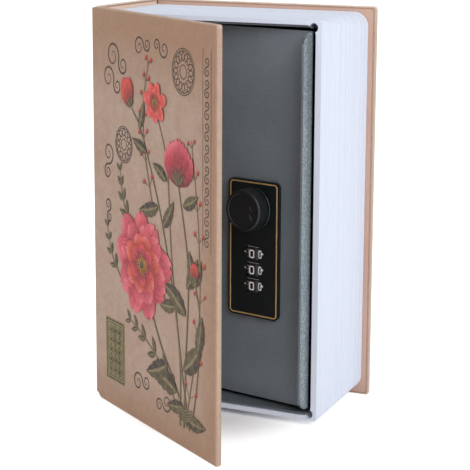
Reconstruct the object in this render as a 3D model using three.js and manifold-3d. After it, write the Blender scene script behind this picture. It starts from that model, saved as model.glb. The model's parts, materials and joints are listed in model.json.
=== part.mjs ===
import * as THREE from 'three';
import { mergeVertices } from 'three/addons/utils/BufferGeometryUtils.js';
import Module from 'manifold-3d';

// A small safe made to look like a hardback book, standing on its tail edge.
// Millimetres. x runs from the spine to the fore edge, y from the front cover
// to the back cover and z up. The cover is part open and the door is ajar.

const wasm = await Module();
wasm.setup();

// Driving sizes

const book = {
  height: 180,
  width: 113,
  thickness: 59.5,
  boardThickness: 2.4,
  endpaperThickness: 0.3,
  endpaperInset: 1.2,
  endpaperEdgeRadius: 0.08,
  boardCornerRadius: 1.2,
  boardEdgeRadius: 0.35,
  jointGap: 0.3,
  glueGap: 0.1,
  coverOpenDegrees: 34,
};

const block = {
  foreEdgeSquare: 3.45,
  tailSquare: 2.6,
  wall: 2,
  frontCornerRadius: 1.2,
  backCornerRadius: 6.5,
  innerCornerRadius: 4.5,
  leafPitch: 2,
  leafGroove: 0.32,
  frontClearance: 0.2,
  reliefRadius: 2,
  reliefReach: 1,
  reliefDepth: 6,
};

const box = {
  sheet: 0.8,
  clearance: 0.2,
  frontSetback: 1.2,
};

const door = {
  sheet: 1,
  flangeDepth: 8.1,
  bendRadius: 1.3,
  cornerRadius: 6.2,
  edgeGap: 0.75,
  heightGap: 1.7,
  pivotInset: 7.1,
  pivotStand: 4,
  hingeOverhang: 4.2,
  earWidth: 14,
  earReach: 3.6,
  earRadius: 2.5,
  recess: 22.6,
  ajarDegrees: 12.1,
};

const hinge = {
  pinRadius: 1.5,
  pinHeadRadius: 2.4,
  pinHeadHeight: 1,
  washerRadius: 3.4,
  runningGap: 0.3,
};

const lock = {
  plateWidth: 27.6,
  plateHeight: 61.1,
  plateThickness: 1.6,
  plateCornerRadius: 2.6,
  plateBevel: 0.3,
  plateSideMargin: 15.5,
  plateTailMargin: 37.75,
  borderInset: 0.7,
  borderWidth: 0.85,
  borderDepth: 0.4,
  borderRise: 0.08,
  borderGap: 0.12,
  seatGap: 0.3,
  housingSide: 1.9,
  housingDepth: 8.2,
  housingCornerRadius: 2,
  screwRadius: 1.3,
  screwHeadRadius: 2.2,
  screwHeadHeight: 1.2,
  screwSideInset: 3.4,
  screwEndInset: 3.4,
  screwBite: 0.8,
};

const dial = {
  radius: 5.5,
  thickness: 5.8,
  pitch: 7.3,
  rise: 0.8,
  lift: 0.65,
  windowSide: 0.35,
  windowEnd: 0.3,
  cavityGap: 0.4,
  notchRadius: 0.45,
  bevel: 0.35,
  spindleRadius: 1.3,
  spindleOverrun: 2.5,
  fitGap: 0.3,
  figures: 10,
  count: 3,
};

const knob = {
  radius: 9.45,
  height: 6.5,
  edgeRadius: 1,
  topDrop: 12.45,
  faceDish: 0.4,
  faceDishRadius: 7.8,
  collarRadius: 9.85,
  collarHeight: 1,
  collarBore: 4,
  boreDepth: 3.6,
  spindleRadius: 2.5,
  spindleGap: 0.3,
};

const cam = {
  thickness: 1.5,
  hubRadius: 5.5,
  armWidth: 8,
  housingGap: 1.5,
  tipClearance: 0.8,
  screwRadius: 1.2,
  screwLength: 4,
  screwHeadRadius: 3.2,
  screwHeadHeight: 1.3,
};

const strike = {
  thickness: 1.2,
  height: 18,
  depth: 12,
  reach: 5.5,
  camGap: 0.45,
  stopGap: 0.6,
  stopReach: 3,
  rivetRadius: 1.2,
  rivetHeadRadius: 2.2,
  rivetHeadHeight: 0.8,
  rivetRimHeight: 0.27,
  rivetSpacing: 11,
};

const arcSteps = 6;
const smallArcSteps = 3;
const roundSides = 24;
const fewSides = 12;
const manySides = 48;
const overrun = 1;
const colours = {
  paper: 0xa88f7a,
  endpaper: 0xc4967c,
  leaves: 0xdde2f2,
  steel: 0x50555a,
  zinc: 0xb4b7ba,
  brassGold: 0xb98a3c,
  black: 0x16181a,
};

// Places worked out from the driving sizes

const degree = Math.PI / 180;
const coverThickness = book.boardThickness + book.glueGap + book.endpaperThickness;
const jointRadius = coverThickness / 2;
const boardStart = coverThickness + book.jointGap;
const backInner = book.thickness - coverThickness;

const blockSpan = {
  left: coverThickness + book.glueGap,
  right: book.width - block.foreEdgeSquare,
  bottom: block.tailSquare,
  top: book.height - block.tailSquare,
  front: coverThickness + block.frontClearance,
  back: backInner - book.glueGap,
};

const boxSpan = {
  left: blockSpan.left,
  right: blockSpan.right - block.wall - box.clearance,
  bottom: blockSpan.bottom + block.wall + box.clearance,
  top: blockSpan.top - block.wall - box.clearance,
  front: blockSpan.front + box.frontSetback,
  back: blockSpan.back - box.clearance,
};

const pivot = {
  x: boxSpan.left + box.sheet + door.pivotInset,
  y: blockSpan.front + door.recess - door.pivotStand,
};

// Door sizes count from its pivot: x along the door, y toward the back.
// Its face stands behind the pivot and its edge flange reaches forward.
const doorSpan = {
  left: -door.hingeOverhang,
  right: boxSpan.right - box.sheet - door.edgeGap - pivot.x,
  bottom: boxSpan.bottom + box.sheet + door.heightGap,
  top: boxSpan.top - box.sheet - door.heightGap,
  front: door.pivotStand,
  back: door.pivotStand + door.sheet,
  lip: door.pivotStand - door.flangeDepth,
};

const plateSpan = {
  centre: doorSpan.right - lock.plateSideMargin - lock.plateWidth / 2,
  bottom: doorSpan.bottom + lock.plateTailMargin,
  back: doorSpan.front - lock.seatGap,
};
plateSpan.top = plateSpan.bottom + lock.plateHeight;
plateSpan.front = plateSpan.back - lock.plateThickness;

const housingSpan = {
  front: doorSpan.back + lock.seatGap,
  halfWidth: lock.plateWidth / 2 - lock.housingSide,
  bottom: plateSpan.bottom + lock.housingSide,
  top: plateSpan.top - lock.housingSide,
};
housingSpan.back = housingSpan.front + lock.housingDepth;

const knobHeight = plateSpan.top - knob.topDrop;
const dialDepth = plateSpan.front - dial.rise + dial.radius;
const knobFoot = knobHeight - knob.collarRadius;
const borderTop = plateSpan.bottom + lock.borderInset + lock.borderWidth;
const dialMiddle = (knobFoot + borderTop) / 2 + dial.lift;
const middleRow = (dial.count - 1) / 2;
const dialHeights = Array.from({ length: dial.count }, (_, row) => dialMiddle + (middleRow - row) * dial.pitch);
const camFront = housingSpan.back + cam.housingGap;
const strikeBack = pivot.y + camFront - strike.camGap;
const strikeWallFace = boxSpan.right - box.sheet - book.glueGap;
const camLength = strikeWallFace - strike.thickness - cam.tipClearance - pivot.x - plateSpan.centre;

// Shapes and solids

function roundedRectangle(left, bottom, right, top, radius) {
  const outline = new THREE.Shape();
  outline.moveTo(left + radius, bottom);
  outline.lineTo(right - radius, bottom);
  outline.absarc(right - radius, bottom + radius, radius, -Math.PI / 2, 0);
  outline.lineTo(right, top - radius);
  outline.absarc(right - radius, top - radius, radius, 0, Math.PI / 2);
  outline.lineTo(left + radius, top);
  outline.absarc(left + radius, top - radius, radius, Math.PI / 2, Math.PI);
  outline.lineTo(left, bottom + radius);
  outline.absarc(left + radius, bottom + radius, radius, Math.PI, 1.5 * Math.PI);
  return outline;
}

function extrude(outline, depth, bevel = 0, steps = arcSteps) {
  return new THREE.ExtrudeGeometry(outline, {
    depth: depth - 2 * bevel,
    curveSegments: steps,
    bevelEnabled: bevel > 0,
    bevelSize: bevel,
    bevelThickness: bevel,
    bevelOffset: -bevel,
    bevelSegments: 2,
  }).translate(0, 0, bevel);
}

// An outline in x and y, raised from one height to another
function risingPrism(outline, from, to, bevel, steps) {
  return extrude(outline, to - from, bevel, steps).translate(0, 0, from);
}

// An outline in x and z, given its depth between two values of y
function uprightPlate(outline, from, to, bevel, steps) {
  const turn = new THREE.Matrix4().makeBasis(
    new THREE.Vector3(1, 0, 0),
    new THREE.Vector3(0, 0, 1),
    new THREE.Vector3(0, -1, 0),
  );
  return extrude(outline, to - from, bevel, steps).applyMatrix4(turn).translate(0, to, 0);
}

// An outline in y and z, given its width between two values of x
function sidePlate(outline, from, to, bevel, steps) {
  const turn = new THREE.Matrix4().makeBasis(
    new THREE.Vector3(0, 1, 0),
    new THREE.Vector3(0, 0, 1),
    new THREE.Vector3(1, 0, 0),
  );
  return extrude(outline, to - from, bevel, steps).applyMatrix4(turn).translate(from, 0, 0);
}

// A profile of radius and height pairs turned about z
function turned(profile, sides = roundSides) {
  const points = profile.map(([radius, height]) => new THREE.Vector2(radius, height));
  return new THREE.LatheGeometry(points, sides).rotateX(Math.PI / 2);
}

// The same profile lying along y, with its heights running toward the front
function turnedForward(profile, sides) {
  return turned(profile, sides).rotateX(Math.PI / 2);
}

function asManifold(geometry) {
  const bare = geometry.clone();
  bare.deleteAttribute('normal');
  bare.deleteAttribute('uv');
  const merged = mergeVertices(bare);
  return new wasm.Manifold(new wasm.Mesh({
    numProp: 3,
    vertProperties: merged.attributes.position.array,
    triVerts: new Uint32Array(merged.index.array),
  }));
}

function asGeometry(manifold) {
  const mesh = manifold.getMesh();
  const geometry = new THREE.BufferGeometry();
  geometry.setAttribute('position', new THREE.BufferAttribute(new Float32Array(mesh.vertProperties), 3));
  geometry.setIndex(new THREE.BufferAttribute(new Uint32Array(mesh.triVerts), 1));
  geometry.computeVertexNormals();
  return geometry;
}

function carve(body, joined, cut) {
  let result = asManifold(body);
  for (const piece of joined) {
    result = result.add(asManifold(piece));
  }
  for (const piece of cut) {
    result = result.subtract(asManifold(piece));
  }
  return asGeometry(result);
}

function boreAlongZ(x, y, radius, from, to, sides) {
  return turned([[0, from], [radius, from], [radius, to], [0, to]], sides).translate(x, y, 0);
}

function boreAlongY(x, z, radius, from, to, sides) {
  return turnedForward([[0, -to], [radius, -to], [radius, -from], [0, -from]], sides).translate(x, 0, z);
}

function boreAlongX(y, z, radius, from, to, sides) {
  return turned([[0, from], [radius, from], [radius, to], [0, to]], sides)
    .rotateY(Math.PI / 2)
    .translate(0, y, z);
}

const materials = {
  paper: { color: colours.paper, roughness: 0.75, metalness: 0 },
  endpaper: { color: colours.endpaper, roughness: 0.85, metalness: 0 },
  leaves: { color: colours.leaves, roughness: 0.45, metalness: 0 },
  steel: { color: colours.steel, roughness: 0.5, metalness: 0.4 },
  zinc: { color: colours.zinc, roughness: 0.35, metalness: 0.9 },
  gold: { color: colours.brassGold, roughness: 0.3, metalness: 0.9 },
  black: { color: colours.black, roughness: 0.3, metalness: 0 },
};

function addPiece(parent, name, geometry, finish) {
  const mesh = new THREE.Mesh(geometry, new THREE.MeshStandardMaterial(materials[finish]));
  mesh.name = name;
  parent.add(mesh);
  return mesh;
}

// Book case

function spineBoard() {
  const outline = roundedRectangle(
    0, boardStart, book.boardThickness, book.thickness - boardStart, book.boardEdgeRadius,
  );
  return risingPrism(outline, 0, book.height, 0, smallArcSteps);
}

function spineLining() {
  const outline = roundedRectangle(
    book.boardThickness + book.glueGap,
    boardStart,
    coverThickness,
    book.thickness - boardStart,
    book.endpaperEdgeRadius,
  );
  return risingPrism(outline, book.endpaperInset, book.height - book.endpaperInset, 0, 1);
}

function jointRoll() {
  return boreAlongZ(0, 0, jointRadius, 0, book.height);
}

// A cover board: from the joint to the fore edge, outer face at one value of y
function coverBoard(left, right, from, to) {
  const outline = roundedRectangle(left, 0, right, book.height, book.boardCornerRadius);
  return uprightPlate(outline, from, to, book.boardEdgeRadius, smallArcSteps);
}

function endpaper(left, right, from, to) {
  const inset = book.endpaperInset;
  const outline = roundedRectangle(
    left, inset, right - inset, book.height - inset, book.boardCornerRadius,
  );
  return uprightPlate(outline, from, to, 0, smallArcSteps);
}

function addBookCase(parent) {
  addPiece(parent, 'spine_board', spineBoard(), 'paper');
  addPiece(parent, 'spine_lining', spineLining(), 'endpaper');
  const front = addPiece(parent, 'front_joint_roll', jointRoll(), 'paper');
  front.position.set(jointRadius, jointRadius, 0);
  const back = addPiece(parent, 'back_joint_roll', jointRoll(), 'paper');
  back.position.set(jointRadius, book.thickness - jointRadius, 0);
  const boardFace = book.thickness - book.boardThickness;
  addPiece(parent, 'back_cover_board', coverBoard(boardStart, book.width, boardFace, book.thickness), 'paper');
  const lining = endpaper(boardStart, book.width, backInner, backInner + book.endpaperThickness);
  addPiece(parent, 'back_endpaper', lining, 'endpaper');
}

// Front cover, in sizes from the joint roll's axis

function addFrontCover(parent) {
  const cover = new THREE.Group();
  cover.position.set(jointRadius, jointRadius, 0);
  cover.rotation.z = -book.coverOpenDegrees * degree;
  parent.add(cover);
  const start = boardStart - jointRadius;
  const end = book.width - jointRadius;
  const board = coverBoard(start, end, -jointRadius, book.boardThickness - jointRadius);
  addPiece(cover, 'front_cover_board', board, 'paper');
  const lining = endpaper(start, end, jointRadius - book.endpaperThickness, jointRadius);
  addPiece(cover, 'front_endpaper', lining, 'endpaper');
}

// Page block: three walls grooved like leaves, whose fore-edge corners grow
// rounder toward the back, so it is lofted section by section

function blockSection(depthShare, groove) {
  const outer = THREE.MathUtils.lerp(block.frontCornerRadius, block.backCornerRadius, depthShare);
  const inner = block.innerCornerRadius;
  const { left, right, bottom, top } = blockSpan;
  const points = [];
  const addPoint = (x, z) => points.push(new THREE.Vector2(x, z));
  const addArc = (x, z, radius, startAngle, turn) => {
    for (let step = 0; step <= arcSteps; step += 1) {
      const angle = startAngle + (step / arcSteps) * turn;
      addPoint(x + radius * Math.cos(angle), z + radius * Math.sin(angle));
    }
  };
  const quarter = Math.PI / 2;
  const wall = block.wall;
  addPoint(left, bottom + groove);
  addArc(right - outer, bottom + outer, outer - groove, -quarter, quarter);
  addArc(right - outer, top - outer, outer - groove, 0, quarter);
  addPoint(left, top - groove);
  addPoint(left, top - wall);
  addArc(right - wall - inner, top - wall - inner, inner, quarter, -quarter);
  addArc(right - wall - inner, bottom + wall + inner, inner, 0, -quarter);
  addPoint(left, bottom + wall);
  return points;
}

// Sections in x and z, each at its own y, joined into one closed skin
function loft(sections, depths) {
  const count = sections[0].length;
  const positions = [];
  sections.forEach((section, ring) => {
    section.forEach((point) => positions.push(point.x, depths[ring], point.y));
  });
  const faces = [];
  for (let ring = 0; ring + 1 < sections.length; ring += 1) {
    for (let side = 0; side < count; side += 1) {
      const here = ring * count + side;
      const next = ring * count + ((side + 1) % count);
      faces.push(here, next, here + count);
      faces.push(next, next + count, here + count);
    }
  }
  const lastRing = (sections.length - 1) * count;
  for (const [a, b, c] of THREE.ShapeUtils.triangulateShape(sections[0], [])) {
    faces.push(c, b, a);
  }
  for (const [a, b, c] of THREE.ShapeUtils.triangulateShape(sections.at(-1), [])) {
    faces.push(lastRing + a, lastRing + b, lastRing + c);
  }
  const flipped = faces.map((_, place) => faces[place - (place % 3) + (2 - (place % 3))]);
  const geometry = new THREE.BufferGeometry();
  geometry.setAttribute('position', new THREE.Float32BufferAttribute(positions, 3));
  geometry.setIndex(flipped);
  return geometry;
}

function reliefCuts() {
  const shift = block.reliefReach - block.reliefRadius;
  const x = blockSpan.right - block.wall + shift;
  const front = blockSpan.front - overrun;
  const back = blockSpan.front + block.reliefDepth;
  return [blockSpan.top - block.wall + shift, blockSpan.bottom + block.wall - shift].map(
    (z) => boreAlongY(x, z, block.reliefRadius, front, back, fewSides),
  );
}

function pageBlock() {
  const length = blockSpan.back - blockSpan.front;
  const leaves = Math.round(length / block.leafPitch);
  const sections = [];
  const depths = [];
  for (let step = 0; step <= 2 * leaves; step += 1) {
    const depthShare = step / (2 * leaves);
    sections.push(blockSection(depthShare, step % 2 === 0 ? 0 : block.leafGroove));
    depths.push(blockSpan.front + depthShare * length);
  }
  return carve(loft(sections, depths), [], reliefCuts());
}

// Steel box, open at the front

function steelBox() {
  const { left, right, bottom, top, front, back } = boxSpan;
  const bend = block.innerCornerRadius - box.clearance;
  const outer = roundedRectangle(left, bottom, right, top, bend);
  const inner = roundedRectangle(
    left + box.sheet, bottom + box.sheet, right - box.sheet, top - box.sheet, bend - box.sheet,
  );
  const pinBore = hinge.pinRadius + hinge.runningGap;
  const rivetBore = strike.rivetRadius + book.glueGap;
  return carve(uprightPlate(outer, front, back), [], [
    uprightPlate(inner, front - overrun, back - box.sheet),
    boreAlongZ(pivot.x, pivot.y, pinBore, bottom - overrun, bottom + box.sheet + overrun),
    boreAlongZ(pivot.x, pivot.y, pinBore, top - box.sheet - overrun, top + overrun),
    ...rivetHeights().map(
      (z) => boreAlongX(rivetDepth(), z, rivetBore, right - box.sheet - overrun, right + overrun),
    ),
    ...reliefCuts(),
  ]);
}

// Strike: its rear tab holds the lock's cam and its front tab stops the door

function rivetHeights() {
  return [knobHeight + strike.rivetSpacing / 2, knobHeight - strike.rivetSpacing / 2];
}

function rivetDepth() {
  return strikeBack - strike.thickness + strike.depth - strike.rivetHeadRadius - strike.thickness;
}

function strikeBracket() {
  const front = strikeBack - strike.thickness;
  const inner = strikeWallFace - strike.thickness;
  const stopFront = pivot.y + doorSpan.back + strike.stopGap;
  const stopBack = stopFront + strike.thickness;
  const outline = new THREE.Shape();
  outline.moveTo(strikeWallFace, stopFront);
  outline.lineTo(strikeWallFace, front + strike.depth);
  outline.lineTo(inner, front + strike.depth);
  outline.lineTo(inner, strikeBack);
  outline.lineTo(strikeWallFace - strike.reach, strikeBack);
  outline.lineTo(strikeWallFace - strike.reach, front);
  outline.lineTo(inner, front);
  outline.lineTo(inner, stopBack);
  outline.lineTo(strikeWallFace - strike.stopReach, stopBack);
  outline.lineTo(strikeWallFace - strike.stopReach, stopFront);
  const body = risingPrism(outline, knobHeight - strike.height / 2, knobHeight + strike.height / 2);
  const bore = strike.rivetRadius + book.glueGap;
  const from = strikeWallFace - strike.thickness - overrun;
  return carve(body, [], rivetHeights().map(
    (z) => boreAlongX(rivetDepth(), z, bore, from, strikeWallFace + overrun),
  ));
}

function rivet() {
  const head = strikeWallFace - strike.thickness - book.glueGap;
  return turned([
    [0, head - strike.rivetHeadHeight],
    [strike.rivetHeadRadius / 2, head - strike.rivetHeadHeight],
    [strike.rivetHeadRadius, head - strike.rivetRimHeight],
    [strike.rivetHeadRadius, head],
    [strike.rivetRadius, head],
    [strike.rivetRadius, boxSpan.right],
    [0, boxSpan.right],
  ], fewSides).rotateY(Math.PI / 2);
}

// Hinge pins fixed in the box, with a washer between it and each ear

function hingePin() {
  const length = box.sheet + door.heightGap + door.sheet + hinge.runningGap;
  return turned([
    [0, 0],
    [hinge.pinRadius, 0],
    [hinge.pinRadius, length],
    [hinge.pinHeadRadius, length],
    [hinge.pinHeadRadius, length + hinge.pinHeadHeight / 2],
    [hinge.pinRadius, length + hinge.pinHeadHeight],
    [0, length + hinge.pinHeadHeight],
  ]);
}

function hingeWasher() {
  const bore = hinge.pinRadius + hinge.runningGap;
  const from = box.sheet + hinge.runningGap;
  const to = box.sheet + door.heightGap - hinge.runningGap;
  return turned([
    [bore, from], [hinge.washerRadius, from], [hinge.washerRadius, to], [bore, to], [bore, from],
  ]);
}

function addBoxParts(parent) {
  addPiece(parent, 'page_block', pageBlock(), 'leaves');
  addPiece(parent, 'steel_box', steelBox(), 'steel');
  addPiece(parent, 'strike_bracket', strikeBracket(), 'zinc');
  rivetHeights().forEach((z, index) => {
    const piece = addPiece(parent, `strike_rivet_${index + 1}`, rivet(), 'zinc');
    piece.position.set(0, rivetDepth(), z);
  });
  const lowerPin = addPiece(parent, 'hinge_pin_lower', hingePin(), 'zinc');
  const lowerWasher = addPiece(parent, 'hinge_washer_lower', hingeWasher(), 'zinc');
  const upperPin = addPiece(parent, 'hinge_pin_upper', hingePin(), 'zinc');
  const upperWasher = addPiece(parent, 'hinge_washer_upper', hingeWasher(), 'zinc');
  for (const piece of [lowerPin, lowerWasher]) {
    piece.position.set(pivot.x, pivot.y, boxSpan.bottom);
  }
  for (const piece of [upperPin, upperWasher]) {
    piece.position.set(pivot.x, pivot.y, boxSpan.top);
    piece.rotation.x = Math.PI;
  }
}

// Door: one sheet, folded forward along its free edge as a pull, with an ear
// folded forward at head and tail for the hinge pins

function doorSection() {
  const { left, right, front, back, lip } = doorSpan;
  const outer = door.bendRadius;
  const inner = door.bendRadius - door.sheet;
  const outline = new THREE.Shape();
  outline.moveTo(left, back);
  outline.lineTo(right - outer, back);
  outline.absarc(right - outer, back - outer, outer, Math.PI / 2, 0, true);
  outline.lineTo(right, lip);
  outline.lineTo(right - door.sheet, lip);
  outline.absarc(right - outer, back - outer, inner, 0, Math.PI / 2);
  outline.lineTo(left, front);
  return outline;
}

// The free corners of the edge flange are round in the flange's own plane
function flangeCornerCut(edge, inward) {
  const { right, lip } = doorSpan;
  const radius = door.cornerRadius;
  const outline = new THREE.Shape();
  outline.moveTo(lip - overrun, edge - inward * overrun);
  outline.lineTo(lip + radius, edge - inward * overrun);
  outline.lineTo(lip + radius, edge);
  for (let step = 1; step <= arcSteps; step += 1) {
    const angle = (step / arcSteps) * (Math.PI / 2);
    outline.lineTo(lip + radius * (1 - Math.sin(angle)), edge + inward * radius * (1 - Math.cos(angle)));
  }
  outline.lineTo(lip - overrun, edge + inward * radius);
  return sidePlate(outline, right - door.bendRadius, right + overrun);
}

function doorPan() {
  const { left, bottom, top, front, back } = doorSpan;
  const ear = roundedRectangle(left, -door.earReach, left + door.earWidth, back - door.sheet / 2, door.earRadius);
  const pinBore = hinge.pinRadius + hinge.runningGap;
  const spindleBore = knob.spindleRadius + knob.spindleGap;
  const screwBore = lock.screwRadius + lock.seatGap;
  const throughSheet = [front - overrun, back + overrun];
  return carve(
    risingPrism(doorSection(), bottom, top),
    [risingPrism(ear, bottom, bottom + door.sheet), risingPrism(ear, top - door.sheet, top)],
    [
      flangeCornerCut(bottom, 1),
      flangeCornerCut(top, -1),
      boreAlongZ(0, 0, pinBore, bottom - overrun, bottom + door.sheet + overrun),
      boreAlongZ(0, 0, pinBore, top - door.sheet - overrun, top + overrun),
      boreAlongY(plateSpan.centre, knobHeight, spindleBore, ...throughSheet),
      ...screwPlaces().map(([x, z]) => boreAlongY(x, z, screwBore, ...throughSheet)),
      ...dialHeights.map(dialWindow),
    ],
  );
}

// Lock plate, its gold border and the housing behind the door

// A window follows the dial's round edge, so it is widest at the back
function dialWindow(z) {
  const halfHeight = dial.thickness / 2 + dial.windowEnd;
  const radius = dial.radius + dial.windowSide;
  return boreAlongZ(plateSpan.centre, dialDepth, radius, z - halfHeight, z + halfHeight, manySides);
}

function plateOutline(inset) {
  const halfWidth = lock.plateWidth / 2 - inset;
  return roundedRectangle(
    plateSpan.centre - halfWidth,
    plateSpan.bottom + inset,
    plateSpan.centre + halfWidth,
    plateSpan.top - inset,
    lock.plateCornerRadius - inset,
  );
}

function borderRing(growth, front, back) {
  const outer = uprightPlate(plateOutline(lock.borderInset - growth), front, back);
  const innerOutline = plateOutline(lock.borderInset + lock.borderWidth + growth);
  return carve(outer, [], [uprightPlate(innerOutline, front - overrun, back + overrun)]);
}

function screwPlaces() {
  const across = housingSpan.halfWidth - lock.screwSideInset;
  return [
    [plateSpan.centre - across, housingSpan.top - lock.screwEndInset],
    [plateSpan.centre + across, housingSpan.bottom + lock.screwEndInset],
  ];
}

function lockPlate() {
  const { front, back } = plateSpan;
  const screwBore = lock.screwRadius + lock.seatGap;
  const spindleBore = knob.spindleRadius + knob.spindleGap;
  return carve(uprightPlate(plateOutline(0), front, back, lock.plateBevel), [], [
    borderRing(lock.borderGap, front - overrun, front + lock.borderDepth),
    boreAlongY(plateSpan.centre, knobHeight, spindleBore, front - overrun, back + overrun),
    ...screwPlaces().map(([x, z]) => boreAlongY(x, z, screwBore, back - lock.screwBite, back + overrun)),
    ...dialHeights.map(dialWindow),
  ]);
}

function plateBorder() {
  const front = plateSpan.front - lock.borderRise;
  return borderRing(0, front, plateSpan.front + lock.borderDepth - lock.borderGap);
}

function lockHousing() {
  const { front, back, halfWidth, bottom, top } = housingSpan;
  const centre = plateSpan.centre;
  const corner = lock.housingCornerRadius;
  const outline = roundedRectangle(centre - halfWidth, bottom, centre + halfWidth, top, corner);
  const cavityRadius = dial.radius + dial.cavityGap;
  const halfDial = dial.thickness / 2 + dial.cavityGap;
  const screwBore = lock.screwRadius + lock.seatGap;
  const spindleBore = knob.spindleRadius + knob.spindleGap;
  const dialBore = dial.spindleRadius + dial.fitGap;
  const [spindleBottom, spindleTop] = dialSpindleSpan();
  const cavities = dialHeights.flatMap((z) => {
    const mouth = roundedRectangle(
      centre - cavityRadius, front - overrun, centre + cavityRadius, dialDepth, dial.cavityGap,
    );
    return [
      boreAlongZ(centre, dialDepth, cavityRadius, z - halfDial, z + halfDial),
      risingPrism(mouth, z - halfDial, z + halfDial, 0, 1),
    ];
  });
  return carve(uprightPlate(outline, front, back), [], [
    ...cavities,
    boreAlongZ(centre, dialDepth, dialBore, spindleBottom - dial.fitGap, spindleTop + dial.fitGap),
    boreAlongY(centre, knobHeight, spindleBore, front - overrun, back + overrun),
    ...screwPlaces().map(([x, z]) => boreAlongY(x, z, screwBore, front - overrun, back + overrun)),
  ]);
}

function dialSpindleSpan() {
  const reach = dial.thickness / 2 + dial.cavityGap + dial.spindleOverrun;
  return [dialHeights.at(-1) - reach, dialHeights[0] + reach];
}

function housingScrew() {
  const head = housingSpan.back + lock.seatGap;
  const tip = plateSpan.back - lock.screwBite + lock.seatGap;
  return turnedForward([
    [0, -head - lock.screwHeadHeight],
    [lock.screwHeadRadius, -head - lock.screwHeadHeight],
    [lock.screwHeadRadius, -head],
    [lock.screwRadius, -head],
    [lock.screwRadius, -tip],
    [0, -tip],
  ], fewSides);
}

function knobCollar() {
  const back = plateSpan.front - lock.seatGap;
  const front = back - knob.collarHeight;
  return turnedForward([
    [knob.collarBore, -back],
    [knob.collarRadius, -back],
    [knob.collarRadius, -front - knob.collarHeight / 2],
    [knob.collarRadius - knob.collarHeight / 2, -front],
    [knob.collarBore, -front],
    [knob.collarBore, -back],
  ], manySides);
}

function addDoor(parent) {
  const leaf = new THREE.Group();
  leaf.position.set(pivot.x, pivot.y, 0);
  leaf.rotation.z = -door.ajarDegrees * degree;
  parent.add(leaf);
  addPiece(leaf, 'door_pan', doorPan(), 'steel');
  addPiece(leaf, 'lock_plate', lockPlate(), 'black');
  addPiece(leaf, 'plate_border', plateBorder(), 'gold');
  addPiece(leaf, 'lock_housing', lockHousing(), 'black');
  screwPlaces().forEach(([x, z], index) => {
    const screw = addPiece(leaf, `housing_screw_${index + 1}`, housingScrew(), 'zinc');
    screw.position.set(x, 0, z);
  });
  const collar = addPiece(leaf, 'knob_collar', knobCollar(), 'black');
  collar.position.set(plateSpan.centre, 0, knobHeight);
  const [from, to] = dialSpindleSpan();
  const spindle = boreAlongZ(plateSpan.centre, dialDepth, dial.spindleRadius, from, to, fewSides);
  addPiece(leaf, 'dial_spindle', spindle, 'zinc');
  addDials(leaf);
  addKnob(leaf);
}

// Dials: ten flats for the figures with a round notch between each two

function dialOutline() {
  const outline = new THREE.Shape();
  const sector = (2 * Math.PI) / dial.figures;
  const notchTurn = Math.asin(dial.notchRadius / dial.radius);
  const points = [];
  const addPoint = (angle, reach) => points.push([reach * Math.cos(angle), reach * Math.sin(angle)]);
  for (let figure = 0; figure < dial.figures; figure += 1) {
    const edge = (figure + 0.5) * sector;
    addPoint(edge - notchTurn, dial.radius);
    addPoint(edge, dial.radius - dial.notchRadius);
    addPoint(edge + notchTurn, dial.radius);
    addPoint(edge + sector / 2, dial.radius);
  }
  outline.moveTo(...points[0]);
  points.slice(1).forEach((point) => outline.lineTo(...point));
  outline.closePath();
  return outline;
}

function dialWheel() {
  const half = dial.thickness / 2;
  const radius = dial.spindleRadius + dial.fitGap;
  const bore = boreAlongZ(0, 0, radius, -half - overrun, half + overrun, fewSides);
  return carve(risingPrism(dialOutline(), -half, half, dial.bevel), [], [bore]);
}

function addDials(leaf) {
  dialHeights.forEach((z, row) => {
    const wheel = addPiece(leaf, `dial_${row + 1}`, dialWheel(), 'black');
    wheel.position.set(plateSpan.centre, dialDepth, z);
    wheel.rotation.z = -Math.PI / 2;
  });
}

// Knob, spindle and cam, in sizes from the door's pivot line

function knobBody() {
  const back = plateSpan.front - 2 * lock.seatGap - knob.collarHeight;
  const front = back - knob.height;
  const bore = knob.spindleRadius + knob.spindleGap;
  const edge = [];
  for (let step = 0; step <= smallArcSteps; step += 1) {
    const angle = (step / smallArcSteps) * (Math.PI / 2);
    edge.push([
      knob.radius - knob.edgeRadius * (1 - Math.cos(angle)),
      -front - knob.edgeRadius * (1 - Math.sin(angle)),
    ]);
  }
  return turnedForward([
    [0, -back + knob.boreDepth],
    [bore, -back + knob.boreDepth],
    [bore, -back],
    [knob.radius, -back],
    ...edge,
    [knob.faceDishRadius, -front],
    [knob.faceDishRadius - knob.faceDish, -front - knob.faceDish],
    [0, -front - knob.faceDish],
  ], manySides);
}

function knobSpindle() {
  const knobBack = plateSpan.front - 2 * lock.seatGap - knob.collarHeight;
  const front = knobBack - knob.boreDepth + knob.spindleGap;
  const back = camFront + cam.thickness;
  const screwBore = cam.screwRadius + knob.spindleGap;
  const screwBottom = back - cam.screwLength - knob.spindleGap;
  return turnedForward([
    [0, -screwBottom],
    [screwBore, -screwBottom],
    [screwBore, -back],
    [knob.spindleRadius, -back],
    [knob.spindleRadius, -front],
    [0, -front],
  ]);
}

function lockCam() {
  const halfArm = cam.armWidth / 2;
  const outline = new THREE.Shape();
  const neck = Math.asin(halfArm / cam.hubRadius);
  outline.absarc(0, 0, cam.hubRadius, neck, 2 * Math.PI - neck);
  outline.absarc(camLength - halfArm, 0, halfArm, -Math.PI / 2, Math.PI / 2);
  const body = uprightPlate(outline, camFront, camFront + cam.thickness);
  const bore = knob.spindleRadius + knob.spindleGap;
  return carve(body, [], [boreAlongY(0, 0, bore, camFront - overrun, camFront + cam.thickness + overrun)]);
}

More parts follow.
